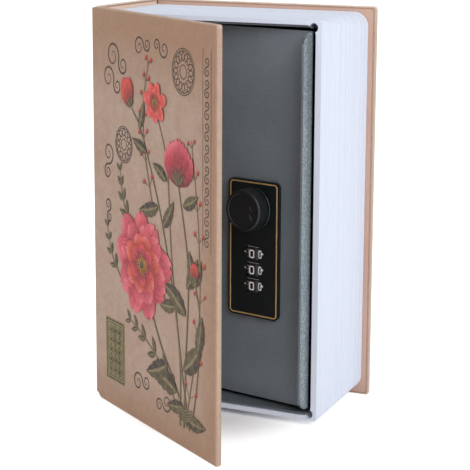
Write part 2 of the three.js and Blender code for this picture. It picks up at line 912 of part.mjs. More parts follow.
function camScrew() {
  const head = camFront + cam.thickness + knob.spindleGap;
  const tip = camFront + cam.thickness - cam.screwLength;
  return turnedForward([
    [0, -head - cam.screwHeadHeight],
    [cam.screwHeadRadius - cam.screwHeadHeight / 2, -head - cam.screwHeadHeight],
    [cam.screwHeadRadius, -head - cam.screwHeadHeight / 2],
    [cam.screwHeadRadius, -head],
    [cam.screwRadius, -head],
    [cam.screwRadius, -tip],
    [0, -tip],
  ], fewSides);
}

function addKnob(leaf) {
  const turner = new THREE.Group();
  turner.position.set(plateSpan.centre, 0, knobHeight);
  turner.rotation.y = Math.PI / 2;
  leaf.add(turner);
  addPiece(turner, 'knob', knobBody(), 'black');
  addPiece(turner, 'knob_spindle', knobSpindle(), 'zinc');
  addPiece(turner, 'lock_cam', lockCam(), 'zinc');
  addPiece(turner, 'cam_screw', camScrew(), 'zinc');
}

// The origin is the middle of the spine board's tail edge

const safe = new THREE.Group();
safe.position.set(-book.boardThickness / 2, -book.thickness / 2, 0);
addBookCase(safe);
addBoxParts(safe);
addFrontCover(safe);
addDoor(safe);

const assembly = new THREE.Group();
assembly.add(safe);

export default assembly;
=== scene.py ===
import json
import math
import random

import bpy
import bmesh
import numpy as np
from mathutils import Matrix, Vector


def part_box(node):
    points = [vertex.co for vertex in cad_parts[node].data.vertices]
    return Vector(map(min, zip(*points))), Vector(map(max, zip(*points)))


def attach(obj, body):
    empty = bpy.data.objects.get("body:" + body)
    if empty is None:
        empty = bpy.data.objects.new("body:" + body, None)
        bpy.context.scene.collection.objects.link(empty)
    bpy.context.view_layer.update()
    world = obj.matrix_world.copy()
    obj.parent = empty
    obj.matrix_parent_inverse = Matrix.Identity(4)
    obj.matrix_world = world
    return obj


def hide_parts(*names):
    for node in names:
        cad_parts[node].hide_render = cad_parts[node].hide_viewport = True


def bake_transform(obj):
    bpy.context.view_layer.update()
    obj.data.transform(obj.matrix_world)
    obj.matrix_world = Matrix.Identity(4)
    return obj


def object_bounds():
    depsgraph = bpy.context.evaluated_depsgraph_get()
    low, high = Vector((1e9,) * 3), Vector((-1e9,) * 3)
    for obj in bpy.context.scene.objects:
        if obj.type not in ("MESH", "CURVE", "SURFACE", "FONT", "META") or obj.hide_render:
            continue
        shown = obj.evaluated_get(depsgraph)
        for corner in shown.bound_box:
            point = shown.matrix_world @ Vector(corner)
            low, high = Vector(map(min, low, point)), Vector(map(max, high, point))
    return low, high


# A book safe standing on its tail edge, cover part open and door ajar.
# Sizes in the dictionaries are millimetres and turns are degrees; the scene itself is in metres.

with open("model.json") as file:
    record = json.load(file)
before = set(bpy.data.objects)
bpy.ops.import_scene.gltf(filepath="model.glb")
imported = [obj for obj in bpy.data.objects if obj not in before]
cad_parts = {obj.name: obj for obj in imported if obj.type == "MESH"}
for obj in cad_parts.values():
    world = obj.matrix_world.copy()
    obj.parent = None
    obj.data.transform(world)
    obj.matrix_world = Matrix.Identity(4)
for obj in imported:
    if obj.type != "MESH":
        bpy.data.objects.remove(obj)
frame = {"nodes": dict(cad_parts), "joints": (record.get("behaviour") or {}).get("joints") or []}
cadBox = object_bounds()
nodes = frame["nodes"]
joints = {joint["name"]: joint for joint in frame["joints"]}
mm = 0.001
quarterTurn = math.pi / 2
print("frame loaded,", len(nodes), "parts")


def hinge(name):
    # where a hinge stands, how far it is open at rest, and the place that turns with it
    pivot = Vector(joints[name]["pos_m"]) * Vector((1, 1, 0))
    opened = math.radians(-joints[name]["range_deg"][0])
    return pivot, opened, Matrix.Translation(pivot) @ Matrix.Rotation(-opened, 4, "Z")


coverPivot, coverOpen, coverPlace = hinge("cover_hinge")
doorPlace = hinge("door_hinge")[2]


# Small tools
def placed(place, x, y, z):
    return place @ Vector((x * mm, y * mm, z * mm))


def colour(red, green, blue):
    # 0 to 255 as seen on screen, to the shader's linear values
    def linear(value):
        share = value / 255
        return share / 12.92 if share <= 0.04045 else ((share + 0.055) / 1.055) ** 2.4

    return (linear(red), linear(green), linear(blue), 1.0)


def clamped(share):
    return min(1.0, max(0.0, share))


def smooth(share):
    share = clamped(share)
    return share * share * (3 - 2 * share)


def spread(low, high, count):
    return [low + (high - low) * step / (count - 1) for step in range(count)]


def toward(angle):
    return Vector((math.cos(angle), math.sin(angle)))


def makePiece(name, points, faces, material, uvs=None):
    mesh = bpy.data.meshes.new(name)
    mesh.from_pydata([tuple(point) for point in points], [], faces)
    for layerName, corners in (uvs or {}).items():
        layer = mesh.uv_layers.new(name=layerName)
        layer.data.foreach_set("uv", np.array(corners, np.float32).ravel())
    mesh.polygons.foreach_set("use_smooth", [True] * len(mesh.polygons))
    mesh.update()
    piece = bpy.data.objects.new(name, mesh)
    bpy.context.scene.collection.objects.link(piece)
    piece.data.materials.append(material)
    return piece


def write(piece, layerName, kind, field, values):
    # one value for each point of the mesh, for a material to read
    layer = piece.data.attributes.new(layerName, kind, "POINT")
    layer.data.foreach_set(field, np.array(values, np.float32).ravel())


def dress(piece, body, slot, *replaced):
    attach(piece, body)
    if replaced:
        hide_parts(*replaced)
    return piece


# Shapes
past = 1.0  # how far a cutter reaches past what it cuts


def bridged(rings, size, closed=False):
    # faces between neighbouring rings of points; closed joins the last ring to the first
    faces = []
    for ring in range(rings if closed else rings - 1):
        here, there = ring * size, (ring + 1) % rings * size
        for index in range(size):
            after = (index + 1) % size
            faces.append((here + index, there + index, there + after, here + after))
    return faces


def arc(x, y, radius, start, turn, steps=6):
    angles = [math.radians(start + turn * step / steps) for step in range(steps + 1)]
    return [(x + radius * math.cos(angle), y + radius * math.sin(angle)) for angle in angles]


def circle(x, y, radius, sides):
    return arc(x, y, radius, 0, 360 * (sides - 1) / sides, sides - 1)


def roundedOutline(left, low, right, high, radius, steps=8):
    return (arc(right - radius, low + radius, radius, -90, 90, steps)
            + arc(right - radius, high - radius, radius, 0, 90, steps)
            + arc(left + radius, high - radius, radius, 90, 90, steps)
            + arc(left + radius, low + radius, radius, 180, 90, steps))


def facingOut(piece):
    build = bmesh.new()
    build.from_mesh(piece.data)
    bmesh.ops.recalc_face_normals(build, faces=build.faces)
    build.to_mesh(piece.data)
    build.free()
    return piece


def prism(name, outline, low, high, spot, material):
    # an outline in two sizes, raised between two values of the third
    count = len(outline)
    points = [spot(a, b, low) for a, b in outline] + [spot(a, b, high) for a, b in outline]
    faces = [tuple(reversed(range(count))), tuple(range(count, 2 * count))]
    faces += [(i, (i + 1) % count, count + (i + 1) % count, count + i) for i in range(count)]
    return facingOut(makePiece(name, points, faces, material))


def lathe(name, profile, sides, spot, material, sharpFrom=38):
    # profile holds (radius, height) pairs, and spot(radius, height, angle) places them
    points, faces, rings = [], [], []
    for radius, height in profile:
        if radius == 0:
            rings.append([len(points)] * sides)
            points.append(spot(0, height, 0))
            continue
        rings.append(list(range(len(points), len(points) + sides)))
        points += [spot(radius, height, 2 * math.pi * side / sides) for side in range(sides)]
    for low, high in zip(rings, rings[1:]):
        for side in range(sides):
            after = (side + 1) % sides
            corners = [low[side], low[after], high[after], high[side]]
            face = [corner for index, corner in enumerate(corners) if corner != corners[index - 1]]
            if len(face) > 2:
                faces.append(face)
    piece = makePiece(name, points, faces, material)
    piece.data.set_sharp_from_angle(angle=math.radians(sharpFrom))
    return facingOut(piece)


def trimmed(piece, cutters, bevel=0.0, limit=38, weighted=True):
    # takes the cutters out of the piece, then softens its edges
    for index, cutter in enumerate(cutters):
        cut = piece.modifiers.new(f"cut{index}", "BOOLEAN")
        cut.operation, cut.solver, cut.object = "DIFFERENCE", "EXACT", cutter
    if bevel:
        edge = piece.modifiers.new("edge", "BEVEL")
        edge.width, edge.segments, edge.limit_method = bevel * mm, 3, "ANGLE"
        edge.angle_limit = math.radians(limit)
        if weighted:
            piece.modifiers.new("shade", "WEIGHTED_NORMAL").keep_sharp = True
    final = bpy.data.meshes.new_from_object(piece.evaluated_get(bpy.context.evaluated_depsgraph_get()))
    piece.modifiers.clear()
    old, piece.data = piece.data, final
    bpy.data.meshes.remove(old)
    for cutter in cutters:
        bpy.data.objects.remove(cutter)
    return piece


def flatsApart(piece, facing):
    # the flat faces are shaded flat, however their outline is cut
    mesh = piece.data
    normals = [corner.vector.copy() for corner in mesh.corner_normals]
    for face in mesh.polygons:
        facingShare = face.normal.dot(facing)
        if abs(facingShare) > 0.999:
            for loop in face.loop_indices:
                normals[loop] = facing if facingShare > 0 else -facing
    mesh.normals_split_custom_set(normals)
    return piece


# A material's shader and the nodes that feed it
class Look:
    def __init__(self, name):
        self.material = bpy.data.materials.new(name)
        self.material.use_nodes = True
        self.tree = self.material.node_tree
        self.shader = next(node for node in self.tree.nodes if node.type == "BSDF_PRINCIPLED")

    def feed(self, socket, value):
        if isinstance(value, bpy.types.NodeSocket):
            self.tree.links.new(value, socket)
        else:
            socket.default_value = value

    def add(self, kind, inputs=None, **settings):
        node = self.tree.nodes.new("ShaderNode" + kind)
        for key, value in settings.items():
            setattr(node, key, value)
        for key, value in (inputs or {}).items():
            self.feed(node.inputs[key], value)
        return node

    def set(self, **values):
        for key, value in values.items():
            self.feed(self.shader.inputs[key.replace("_", " ")], value)

    def objectCoords(self):
        return self.add("TexCoord").outputs["Object"]

    def uv(self, layer):
        return self.add("UVMap", uv_map=layer).outputs["UV"]

    def read(self, attribute, output="Fac"):
        return self.add("Attribute", attribute_name=attribute).outputs[output]

    def stretched(self, coords, scale):
        return self.add("Mapping", {"Vector": coords, "Scale": scale}).outputs["Vector"]

    def noise(self, coords, scale, detail, roughness, distortion=0.0):
        node = self.add("TexNoise", {
            "Vector": coords, "Scale": scale, "Detail": detail,
            "Roughness": roughness, "Distortion": distortion,
        })
        return node.outputs["Fac"]

    def ramp(self, value, *stops):
        node = self.add("ValToRGB", {"Fac": value})
        elements = node.color_ramp.elements
        while len(elements) < len(stops):
            elements.new(0.5)
        for element, (position, shade) in zip(elements, stops):
            element.position = position
            element.color = (shade, shade, shade, 1)
        return node.outputs["Color"]

    def between(self, value, low, high):
        # a noise lies mostly from 0.3 to 0.7
        return self.ramp(value, (0.3, low), (0.7, high))

    def mix(self, share, first, second, blend="MIX"):
        inputs = {0: share, 6: first, 7: second}
        return self.add("Mix", inputs, data_type="RGBA", blend_type=blend).outputs[2]

    def drifting(self, value, low, high):
        return self.mix(self.between(value, 0.0, 1.0), low, high)

    def times(self, first, second):
        return self.mix(1.0, first, second, "MULTIPLY")

    def maths(self, operation, first, second=0.0, clamp=False):
        return self.add("Math", {0: first, 1: second}, operation=operation, use_clamp=clamp).outputs[0]

    def bump(self, height, strength, distance, under=None):
        inputs = {"Height": height, "Strength": strength, "Distance": distance}
        if under is not None:
            inputs["Normal"] = under
        return self.add("Bump", inputs).outputs["Normal"]


# In the finishes a noise is its scale, detail, roughness and distortion, a ramp its stops as
# (place, shade), and a bump its strength and its depth in metres
paper = {
    "pale": colour(180, 156, 139),
    "rosy": colour(171, 141, 124),
    "aged": colour(157, 121, 96),   # toward the edges of the boards
    "dark": colour(126, 96, 77),    # flecks
    "edge": colour(234, 218, 205),  # rims rubbed pale by wear, and painted light on the head faces and fore edges
    "ageReach": 42.0, "ageEase": 0.8,
    "ageHaste": 2.2,                # how much faster it fades from the fore edge and the tail
    "broad": (13.0, 3.0, 0.5, 0.3), "broadShare": 1.1, "ageShare": 0.9,
    "cloud": (75.0, 5.0, 0.6, 0.8), "cloudRamp": ((0.3, 0.0), (0.72, 1.0)),
    "fine": (900.0, 3.0, 0.7), "fineRamp": ((0.25, 0.87), (0.75, 1.09)),
    "fibre": (420.0, 4.0, 0.75, 1.5), "fibreRamp": ((0.58, 0.0), (0.74, 0.42)),
    "fibreStretch": (1.0, 5.0, 1.0),
    "mottle": (250.0, 5.0, 0.7, 0.4), "mottleRamp": ((0.32, 0.92), (0.68, 1.06)),
    "scuff": (260.0, 5.0, 0.7), "scuffRamp": ((0.3, 0.65), (0.6, 1.0)),
    "roughRamp": ((0.2, 0.56), (0.8, 0.70)),
    "fineBump": (0.10, 0.0001), "fibreBump": (0.12, 0.0001),
    "gloss": 0.35,
}


def paperAge(edge, height):
    # 1 at the rims of a board, down to 0 in its middle
    toRim = min(edge * paper["ageHaste"], height * paper["ageHaste"], case["height"] - height)
    return (1 - smooth(toRim / paper["ageReach"])) ** paper["ageEase"]


def paperColour(look, coords):
    broad = look.noise(coords, *paper["broad"])
    cloud = look.noise(coords, *paper["cloud"])
    fine = look.noise(coords, *paper["fine"])
    fibre = look.noise(look.stretched(coords, paper["fibreStretch"]), *paper["fibre"])
    drift = look.maths("MULTIPLY", look.maths("SUBTRACT", broad, 0.5), paper["broadShare"])
    age = look.maths("MULTIPLY", look.maths("ADD", look.read("age"), drift, True), paper["ageShare"])
    toned = look.mix(look.ramp(cloud, *paper["cloudRamp"]), paper["rosy"], paper["pale"])
    toned = look.mix(age, toned, paper["aged"])
    toned = look.mix(look.ramp(fibre, *paper["fibreRamp"]), toned, paper["dark"])
    toned = look.times(toned, look.ramp(fine, *paper["fineRamp"]))
    mottle = look.noise(coords, *paper["mottle"])
    toned = look.times(toned, look.ramp(mottle, *paper["mottleRamp"]))
    return toned, fibre, fine


def paperSurface(look, fibre, fine):
    low = look.bump(fine, *paper["fineBump"])
    look.set(
        Roughness=look.ramp(fine, *paper["roughRamp"]),
        Normal=look.bump(fibre, *paper["fibreBump"], low),
        Specular_IOR_Level=paper["gloss"],
    )


def casePaper():
    look = Look("kraft_case_paper")
    coords = look.uv("sheet")
    toned, fibre, fine = paperColour(look, coords)
    # the rims take a lighter colour: real wear, and painted light where the head faces and fore edges catch
    # the light
    scuff = look.ramp(look.noise(coords, *paper["scuff"]), *paper["scuffRamp"])
    wornAndLit = look.maths("MULTIPLY", look.read("rim"), scuff, True)
    look.set(Base_Color=look.mix(wornAndLit, toned, paper["edge"]))
    paperSurface(look, fibre, fine)
    return look.material


lining = {
    "broad": (30.0, 4.0, 0.6),
    "fine": (1100.0, 3.0, 0.7),
    "fibre": (500.0, 4.0, 0.7, 1.0), "fibreRamp": ((0.58, 0.0), (0.75, 0.25)),
    "fibreStretch": (1.0, 1.0, 4.0),
    "fibreTone": colour(170, 132, 112),
}


def liningPaper(name, low, high):
    look = Look(name)
    coords = look.objectCoords()
    broad = look.noise(coords, *lining["broad"])
    fibre = look.noise(look.stretched(coords, lining["fibreStretch"]), *lining["fibre"])
    fine = look.noise(coords, *lining["fine"])
    toned = look.drifting(broad, low, high)
    toned = look.mix(look.ramp(fibre, *lining["fibreRamp"]), toned, lining["fibreTone"])
    look.set(Base_Color=toned)
    paperSurface(look, fibre, fine)
    return look.material


powder = {
    "glintRange": (0.3, 0.85),   # how squarely a face looks along the door's width: such faces get painted glints and painted shade in the pits
    "cloud": (45.0, 3.0, 0.5),
    "speck": (2600.0, 2.0, 0.6), "speckRamp": ((0.60, 0.0), (0.72, 0.5)),
    "coarse": (1250.0, 2.0, 0.55), "coarseRamp": ((0.49, 0.0), (0.60, 0.55)),
    "pit": (1500.0, 2.0, 0.55), "pitRamp": ((0.40, 0.4), (0.50, 0.0)),
    "speckTone": colour(158, 165, 170),
    "glintTone": colour(178, 186, 190),
    "pitShadeTone": colour(84, 92, 97),
    "peel": (900.0, 2.0, 0.5), "peelBump": (0.8, 0.0003), "speckBump": (0.25, 0.00006),
    "rough": (0.36, 0.5), "metal": 0.08, "gloss": 0.3,
}


def powderCoat(name, low, high, grain):
    look = Look(name)
    coords = look.objectCoords()
    # painted light: lighter glint specks and darker pit specks are painted onto faces turned along the door's
    # width, such as the folded edge, where the light rakes along them
    turned = look.add("TexCoord").outputs["Normal"]
    across = doorPlace.to_3x3() @ Vector((1, 0, 0))
    sideways = look.add("VectorMath", {0: turned, 1: across}, operation="DOT_PRODUCT")
    start, end = powder["glintRange"]
    fold = look.ramp(sideways.outputs["Value"], (start, 0.0), (end, grain))
    coarse = look.ramp(look.noise(coords, *powder["coarse"]), *powder["coarseRamp"])
    pitted = look.ramp(look.noise(coords, *powder["pit"]), *powder["pitRamp"])
    peel = look.noise(coords, *powder["peel"])
    speck = look.noise(coords, *powder["speck"])
    toned = look.drifting(look.noise(coords, *powder["cloud"]), low, high)
    toned = look.mix(look.ramp(speck, *powder["speckRamp"]), toned, powder["speckTone"])
    toned = look.mix(look.maths("MULTIPLY", coarse, fold), toned, powder["glintTone"])
    toned = look.mix(look.maths("MULTIPLY", pitted, fold), toned, powder["pitShadeTone"])
    look.set(
        Base_Color=toned,
        Roughness=look.between(peel, *powder["rough"]),
        Normal=look.bump(peel, *powder["peelBump"], look.bump(speck, *powder["speckBump"])),
        Metallic=powder["metal"],
        Specular_IOR_Level=powder["gloss"],
    )
    return look.material


leafSkin = {
    "leaf": (1.0, 4.0, 0.7), "leafStretch": (6.0, 1400.0, 6.0),
    "band": (1.0, 3.0, 0.6), "bandStretch": (1.5, 330.0, 1.5),
    "bandRamp": ((0.35, 0.0), (0.7, 0.5)),
    "shade": colour(210, 217, 232), "light": colour(221, 227, 241), "bandTone": colour(214, 220, 238),
    "rough": (0.36, 0.5), "bump": (0.12, 0.0001),
}


def leafPlastic():
    look = Look("satin_leaf_plastic")
    coords = look.objectCoords()
    leaf = look.noise(look.stretched(coords, leafSkin["leafStretch"]), *leafSkin["leaf"])
    band = look.noise(look.stretched(coords, leafSkin["bandStretch"]), *leafSkin["band"])
    toned = look.drifting(leaf, leafSkin["shade"], leafSkin["light"])
    look.set(
        Base_Color=look.mix(look.ramp(band, *leafSkin["bandRamp"]), toned, leafSkin["bandTone"]),
        Roughness=look.between(leaf, *leafSkin["rough"]),
        Normal=look.bump(leaf, *leafSkin["bump"]),
    )
    return look.material


plastic = {
    "haze": (60.0, 4.0, 0.6), "fine": (3.0, 0.6),
    "smoother": 0.05, "rougher": 0.06, "bump": (0.08, 0.00005),
}


def blackPlastic(name, low, high, rough, grain):
    look = Look(name)
    coords = look.objectCoords()
    fine = look.noise(coords, grain, *plastic["fine"])
    look.set(
        Base_Color=look.drifting(look.noise(coords, *plastic["haze"]), low, high),
        Roughness=look.between(fine, rough - plastic["smoother"], rough + plastic["rougher"]),
        Normal=look.bump(fine, *plastic["bump"]),
    )
    return look.material


metal = {
    "streak": (1.0, 4.0, 0.7), "spot": (350.0, 4.0, 0.6),
    "smoother": 0.08, "rougher": 0.1, "bump": (0.1, 0.00004),
}


def plainMetal(name, low, high, rough, brush, metallic=1.0):
    look = Look(name)
    coords = look.objectCoords()
    streak = look.noise(look.stretched(coords, brush), *metal["streak"])
    look.set(
        Base_Color=look.drifting(look.noise(coords, *metal["spot"]), low, high),
        Roughness=look.between(streak, rough - metal["smoother"], rough + metal["rougher"]),
        Normal=look.bump(streak, *metal["bump"]),
        Metallic=metallic,
    )
    return look.material


paint = {"thin": (2200.0, 3.0, 0.6), "rough": (0.42, 0.55), "bump": (0.08, 0.00003)}


def markPaint(name, low, high):
    look = Look(name)
    thin = look.noise(look.objectCoords(), *paint["thin"])
    look.set(
        Base_Color=look.drifting(thin, low, high),
        Roughness=look.between(thin, *paint["rough"]),
        Normal=look.bump(thin, *paint["bump"]),
    )
    return look.material


press = {
    "streak": (1.0, 3.0, 0.6), "streakRange": (0.55, 1.2),
    "thin": (520.0, 4.0, 0.75), "thinRamp": ((0.45, 0.02), (0.75, 0.30)),
}


def printedPaper(name, streaks):
    # printing ink in its own colours on the case paper; thin ink lets the paper through
    look = Look(name)
    coords = look.uv("sheet")
    toned, fibre, fine = paperColour(look, coords)
    streak = look.noise(look.stretched(look.read("vein", "Vector"), streaks), *press["streak"])
    inked = look.times(look.read("ink", "Color"), look.between(streak, *press["streakRange"]))
    thin = look.ramp(look.noise(coords, *press["thin"]), *press["thinRamp"])
    look.set(Base_Color=look.mix(thin, inked, toned))
    paperSurface(look, fibre, fine)
    return look.material


caseFinish = casePaper()
liningFinish = liningPaper("peach_lining_paper", colour(192, 156, 139), colour(201, 167, 150))
spineFinish = liningPaper("pale_spine_paper", colour(222, 192, 172), colour(231, 203, 184))
# grain sets how strongly the painted glints and pit shade show on faces turned sideways
steelFinish = powderCoat("grey_powder_coat", colour(115, 126, 134), colour(124, 135, 142), grain=1.0)
# the box's coat is a darker copy of the door's: painted shade for the box's edges and ledge deep in the
# recess
boxShadedFinish = powderCoat("box_powder_coat_painted_shade", colour(90, 99, 105), colour(98, 107, 113), grain=0.3)
leafFinish = leafPlastic()
plateFinish = blackPlastic("black_lock_plate", colour(10, 22, 25), colour(14, 26, 29), 0.34, 1800.0)
knobFinish = blackPlastic("black_knob_plastic", colour(14, 19, 22), colour(18, 24, 27), 0.5, 1500.0)
collarFinish = blackPlastic("black_collar_plastic", colour(14, 21, 24), colour(19, 26, 29), 0.24, 1500.0)
wheelFinish = blackPlastic("black_dial_plastic", colour(12, 14, 20), colour(17, 19, 25), 0.5, 1200.0)
housingFinish = blackPlastic("black_housing_plastic", colour(30, 32, 33), colour(36, 38, 39), 0.45, 900.0)
goldFinish = plainMetal(
    "gold_line", colour(202, 165, 104), colour(224, 190, 132), 0.4, (60.0, 60.0, 900.0), metallic=0.5,
)
zincFinish = plainMetal(
    "bright_zinc", colour(186, 189, 192), colour(204, 206, 207), 0.32, (40.0, 40.0, 1500.0),
)
whitePaint = markPaint("white_figure_paint", colour(250, 251, 254), colour(254, 254, 255))
# grey paint for the index dots and for the painted highlights over the windows
markAndHighlightPaint = markPaint("grey_mark_and_highlight_paint", colour(150, 153, 156), colour(166, 169, 172))
dimPaint = markPaint("dim_mark_paint", colour(92, 95, 97), colour(108, 111, 113))
petalInk = printedPaper("printed_petals", (2.2, 11.0, 9.0))
leafInk = printedPaper("printed_leaves", (13.0, 3.5, 9.0))
lineInk = printedPaper("printed_lines", (9.0, 1.0, 9.0))

# A node that isn't named here is bright zinc, or hidden by the paper case
nodeFinish = {
    "back_endpaper": liningFinish, "front_endpaper": liningFinish, "spine_lining": spineFinish,
    "steel_box": boxShadedFinish, "door_pan": steelFinish, "page_block": leafFinish,
    "lock_plate": plateFinish, "plate_border": goldFinish, "lock_housing": housingFinish,
    "knob_collar": knobFinish, "knob": knobFinish,
    "dial_1": knobFinish, "dial_2": knobFinish, "dial_3": knobFinish,
}
for name, node in nodes.items():
    node.data.materials.clear()
    node.data.materials.append(nodeFinish.get(name, zincFinish))
print("finishes made")


# Book case: one sheet of paper over spine and boards
case = {
    "height": 180.0,
    "board": 2.4,              # thickness with its paper
    "joint": 0.8,              # thickness of the paper fold
    "jointRadius": 1.4,
    "boardRise": 0.7,          # from the fold's axis: the fold thickens from here
    "boardStart": 1.7,         # to here
    "edgeRound": 0.45, "leastFlat": 0.02, "cornerRound": 1.2,
    "headPinch": 0.5, "tailPinch": 1.9,   # how far the fold draws in at head and tail
    "pinchReach": 4.5,
    "rimWidth": 1.1, "foreRim": 2.2, "rimEase": 1.5,
    "frontWearAndLight": (0.5, 0.35),  # how light the rims are, for wear and for painted light, at head and tail and at the fore edge
    "backWearAndLight": (1.0, 0.6),
    "bendStart": (-0.6, 1.5, 0.0), "bendEnd": (0.05, -0.15, 0.0),   # from the front fold's axis
    # the mesh: columns counted from the fore edge and from a fold, then evenly over what is left
    "edgeColumns": [0.0, 0.02, 0.06, 0.12, 0.2, 0.3, 0.45, 0.6, 0.8, 1.0, 1.2, 1.6, 2.4],
    "foldColumns": [6.0, 5.0, 4.2, 3.4, 2.8, 2.3, 1.9, 1.7, 1.5, 1.3, 1.1, 0.9, 0.7, 0.4, 0.0],
    "boardColumns": 22, "boardSpan": (5.0, 8.0),
    "spineColumns": 12, "spineSpan": 9.0,
    "roundColumns": 9,
    "rows": 12, "rowSpan": 8.0, "rimRow": 0.5,
    "roundSteps": 4,
}


def caseLine():
    # (outer point, outward direction, distance from the nearest fold, distance to the fore edge)
    boardEnd = (cadBox[1].x - coverPivot.x) / mm
    thickness = -2 * coverPivot.y / mm
    backFold = Vector((coverPivot.x / mm, thickness / 2))
    frontFold = Vector((coverPivot.x / mm, -thickness / 2))
    radius, near = case["jointRadius"], case["foldColumns"]
    start, end = case["boardSpan"]
    fromEdge = case["edgeColumns"] + spread(start, boardEnd - end, case["boardColumns"])
    alongBoard = sorted(set([boardEnd - step for step in fromEdge] + near))
    line = []

    def roundFold(fold, first, turn):
        for step in range(1, case["roundColumns"]):
            out = toward(first + turn * step / case["roundColumns"])
            line.append((fold + out * radius, out, 0.0, boardEnd))

    for along in reversed(alongBoard):
        line.append((backFold + Vector((along, radius)), Vector((0, 1)), along, boardEnd - along))
    roundFold(backFold, quarterTurn, quarterTurn)
    span = case["spineSpan"]
    downSpine = near[::-1] + spread(span, thickness - span, case["spineColumns"])
    for down in downSpine + [thickness - step for step in near]:
        fold = min(down, thickness - down)
        line.append((backFold + Vector((-radius, -down)), Vector((-1, 0)), fold, boardEnd))
    roundFold(frontFold, math.pi, quarterTurn - coverOpen)
    ahead = Vector((math.cos(coverOpen), -math.sin(coverOpen)))
    out = Vector((-math.sin(coverOpen), -math.cos(coverOpen)))
    for along in alongBoard:
        line.append((frontFold + ahead * along + out * radius, out, along, boardEnd - along))
    return line


def drawnIn(radius, edge):
    # how far a round corner draws in at this distance from the edge
    return 0.0 if edge >= radius else radius - math.sqrt(radius ** 2 - (radius - edge) ** 2)


def caseLoop(fold, edge):
    # (height, depth inward) round the board at one place along the case
    share = smooth((fold - case["boardRise"]) / (case["boardStart"] - case["boardRise"]))
    thick = case["joint"] + (case["board"] - case["joint"]) * share
    pinch = 1 - smooth(fold / case["pinchReach"])
    drawn = drawnIn(case["cornerRound"], edge)
    low = case["tailPinch"] * pinch + drawn
    high = case["height"] - case["headPinch"] * pinch - drawn
    rounding = min(case["edgeRound"], thick / 2 - case["leastFlat"])
    front = drawnIn(rounding, edge)
    back = thick - front
    rounding = min(rounding, (back - front - case["leastFlat"]) / 2)
    span, rim = case["rowSpan"], case["rimRow"]
    rows = [low + rounding, low + rounding + rim] + spread(low + span, high - span, case["rows"])
    rows += [high - rounding - rim, high - rounding]

    def corner(height, depth, start):
        turns = [start + quarterTurn * step / case["roundSteps"] for step in range(1, case["roundSteps"])]
        return [(height + rounding * math.cos(turn), depth + rounding * math.sin(turn)) for turn in turns]

    loop = [(row, front) for row in rows]
    loop += corner(high - rounding, front + rounding, -quarterTurn)
    loop += [(high, front + rounding), (high, back - rounding)]
    loop += corner(high - rounding, back - rounding, 0)
    loop += [(row, back) for row in reversed(rows)]
    loop += corner(low + rounding, back - rounding, quarterTurn)
    loop += [(low, back - rounding), (low, front + rounding)]
    loop += corner(low + rounding, front + rounding, math.pi)
    return loop, len(rows)


def sheetPath(loop, rowCount):
    # the height written on the sheet: over the head edge and down inside, or under the tail edge
    paths = [height for height, _ in loop]
    size = len(loop)
    half = rowCount + 2 * case["roundSteps"] + rowCount // 2
    run = loop[rowCount - 1][0]
    for index in range(rowCount, half):
        run += math.dist(loop[index], loop[index - 1])
        paths[index] = run
    run = loop[0][0]
    for index in range(size - 1, half - 1, -1):
        run -= math.dist(loop[index], loop[(index + 1) % size])
        paths[index] = run
    return paths


def bookCase():
    line = caseLine()
    points, rims, ages, uvs, columns = [], [], [], [], []
    travel, before = 0.0, line[0][0]
    for place, out, fold, edge in line:
        loop, rowCount = caseLoop(fold, edge)
        travel += (place - before).length
        before = place
        columns.append((travel, sheetPath(loop, rowCount)))
        lowest, highest = min(height for height, _ in loop), max(height for height, _ in loop)
        facesFront = out.y < -0.5
        endWearAndLight, foreWearAndLight = case["frontWearAndLight" if facesFront else "backWearAndLight"]
        for height, depth in loop:
            spot = place - out * depth
            points.append((spot.x * mm, spot.y * mm, height * mm))
            # lighter rims at head, tail and fore edge: wear, and painted light on the faces that catch it
            ends = endWearAndLight * (1 - min(height - lowest, highest - height) / case["rimWidth"])
            side = foreWearAndLight * (1 - edge / case["foreRim"])
            rims.append(max(0.0, ends, side) ** case["rimEase"])
            ages.append(paperAge(edge, height))
    size = len(columns[0][1])
    faces = bridged(len(line), size)
    for face in faces:
        for point in face:
            run, paths = columns[point // size]
            uvs.append((run * mm, paths[point % size] * mm))
    for column, side in ((0, -1), (len(line) - 1, 1)):   # the fore edges of the two boards
        place, out = line[column][:2]
        ring = [column * size + index for index in range(size)][::-side]
        faces.append(ring)
        for point in ring:
            depth = (place * mm - Vector(points[point][:2])).dot(out)
            uvs.append((columns[column][0] * mm + side * depth, points[point][2]))
    piece = makePiece("paper_case", points, faces, caseFinish, {"sheet": uvs})
    write(piece, "rim", "FLOAT", "value", rims)
    write(piece, "age", "FLOAT", "value", ages)
    coverPivot + Vector(case["bendStart"]) * mm
    coverPivot + Vector(case["bendEnd"]) * mm
    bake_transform(piece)
    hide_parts("spine_board", "front_joint_roll", "back_joint_roll",
                "back_cover_board", "front_cover_board")
    atFold = [index for index, column in enumerate(line) if column[2] == 0.0]
    return columns[atFold[-1]][0]  # the sheet's run up to the front board's fold


frontStart = bookCase()
print("book case wrapped")


# Page block
leaves = {
    "wall": 2.0,
    "frontCorner": 1.2, "backCorner": 6.5, "innerCorner": 4.5,
    "sections": 230, "arcSteps": 14,
    "cornerSpan": 9.0, "endSteps": 5, "sideSteps": 7,
    "ripple": 0.12, "rib": 0.12, "valley": 0.2,
    "evenLeaves": 2, "ribLeaves": (6, 17), "valleyLeaves": 2,   # how many sections keep one depth
    "lip": 0.65, "lipDepth": 1.0,  # the front rim stands in over the box's sheet at the fore edge
    "relief": 2.0, "reliefReach": 1.0, "reliefDepth": 6.0, "reliefSides": 32,
    "sharpFrom": 50,
    "seed": 11,
}


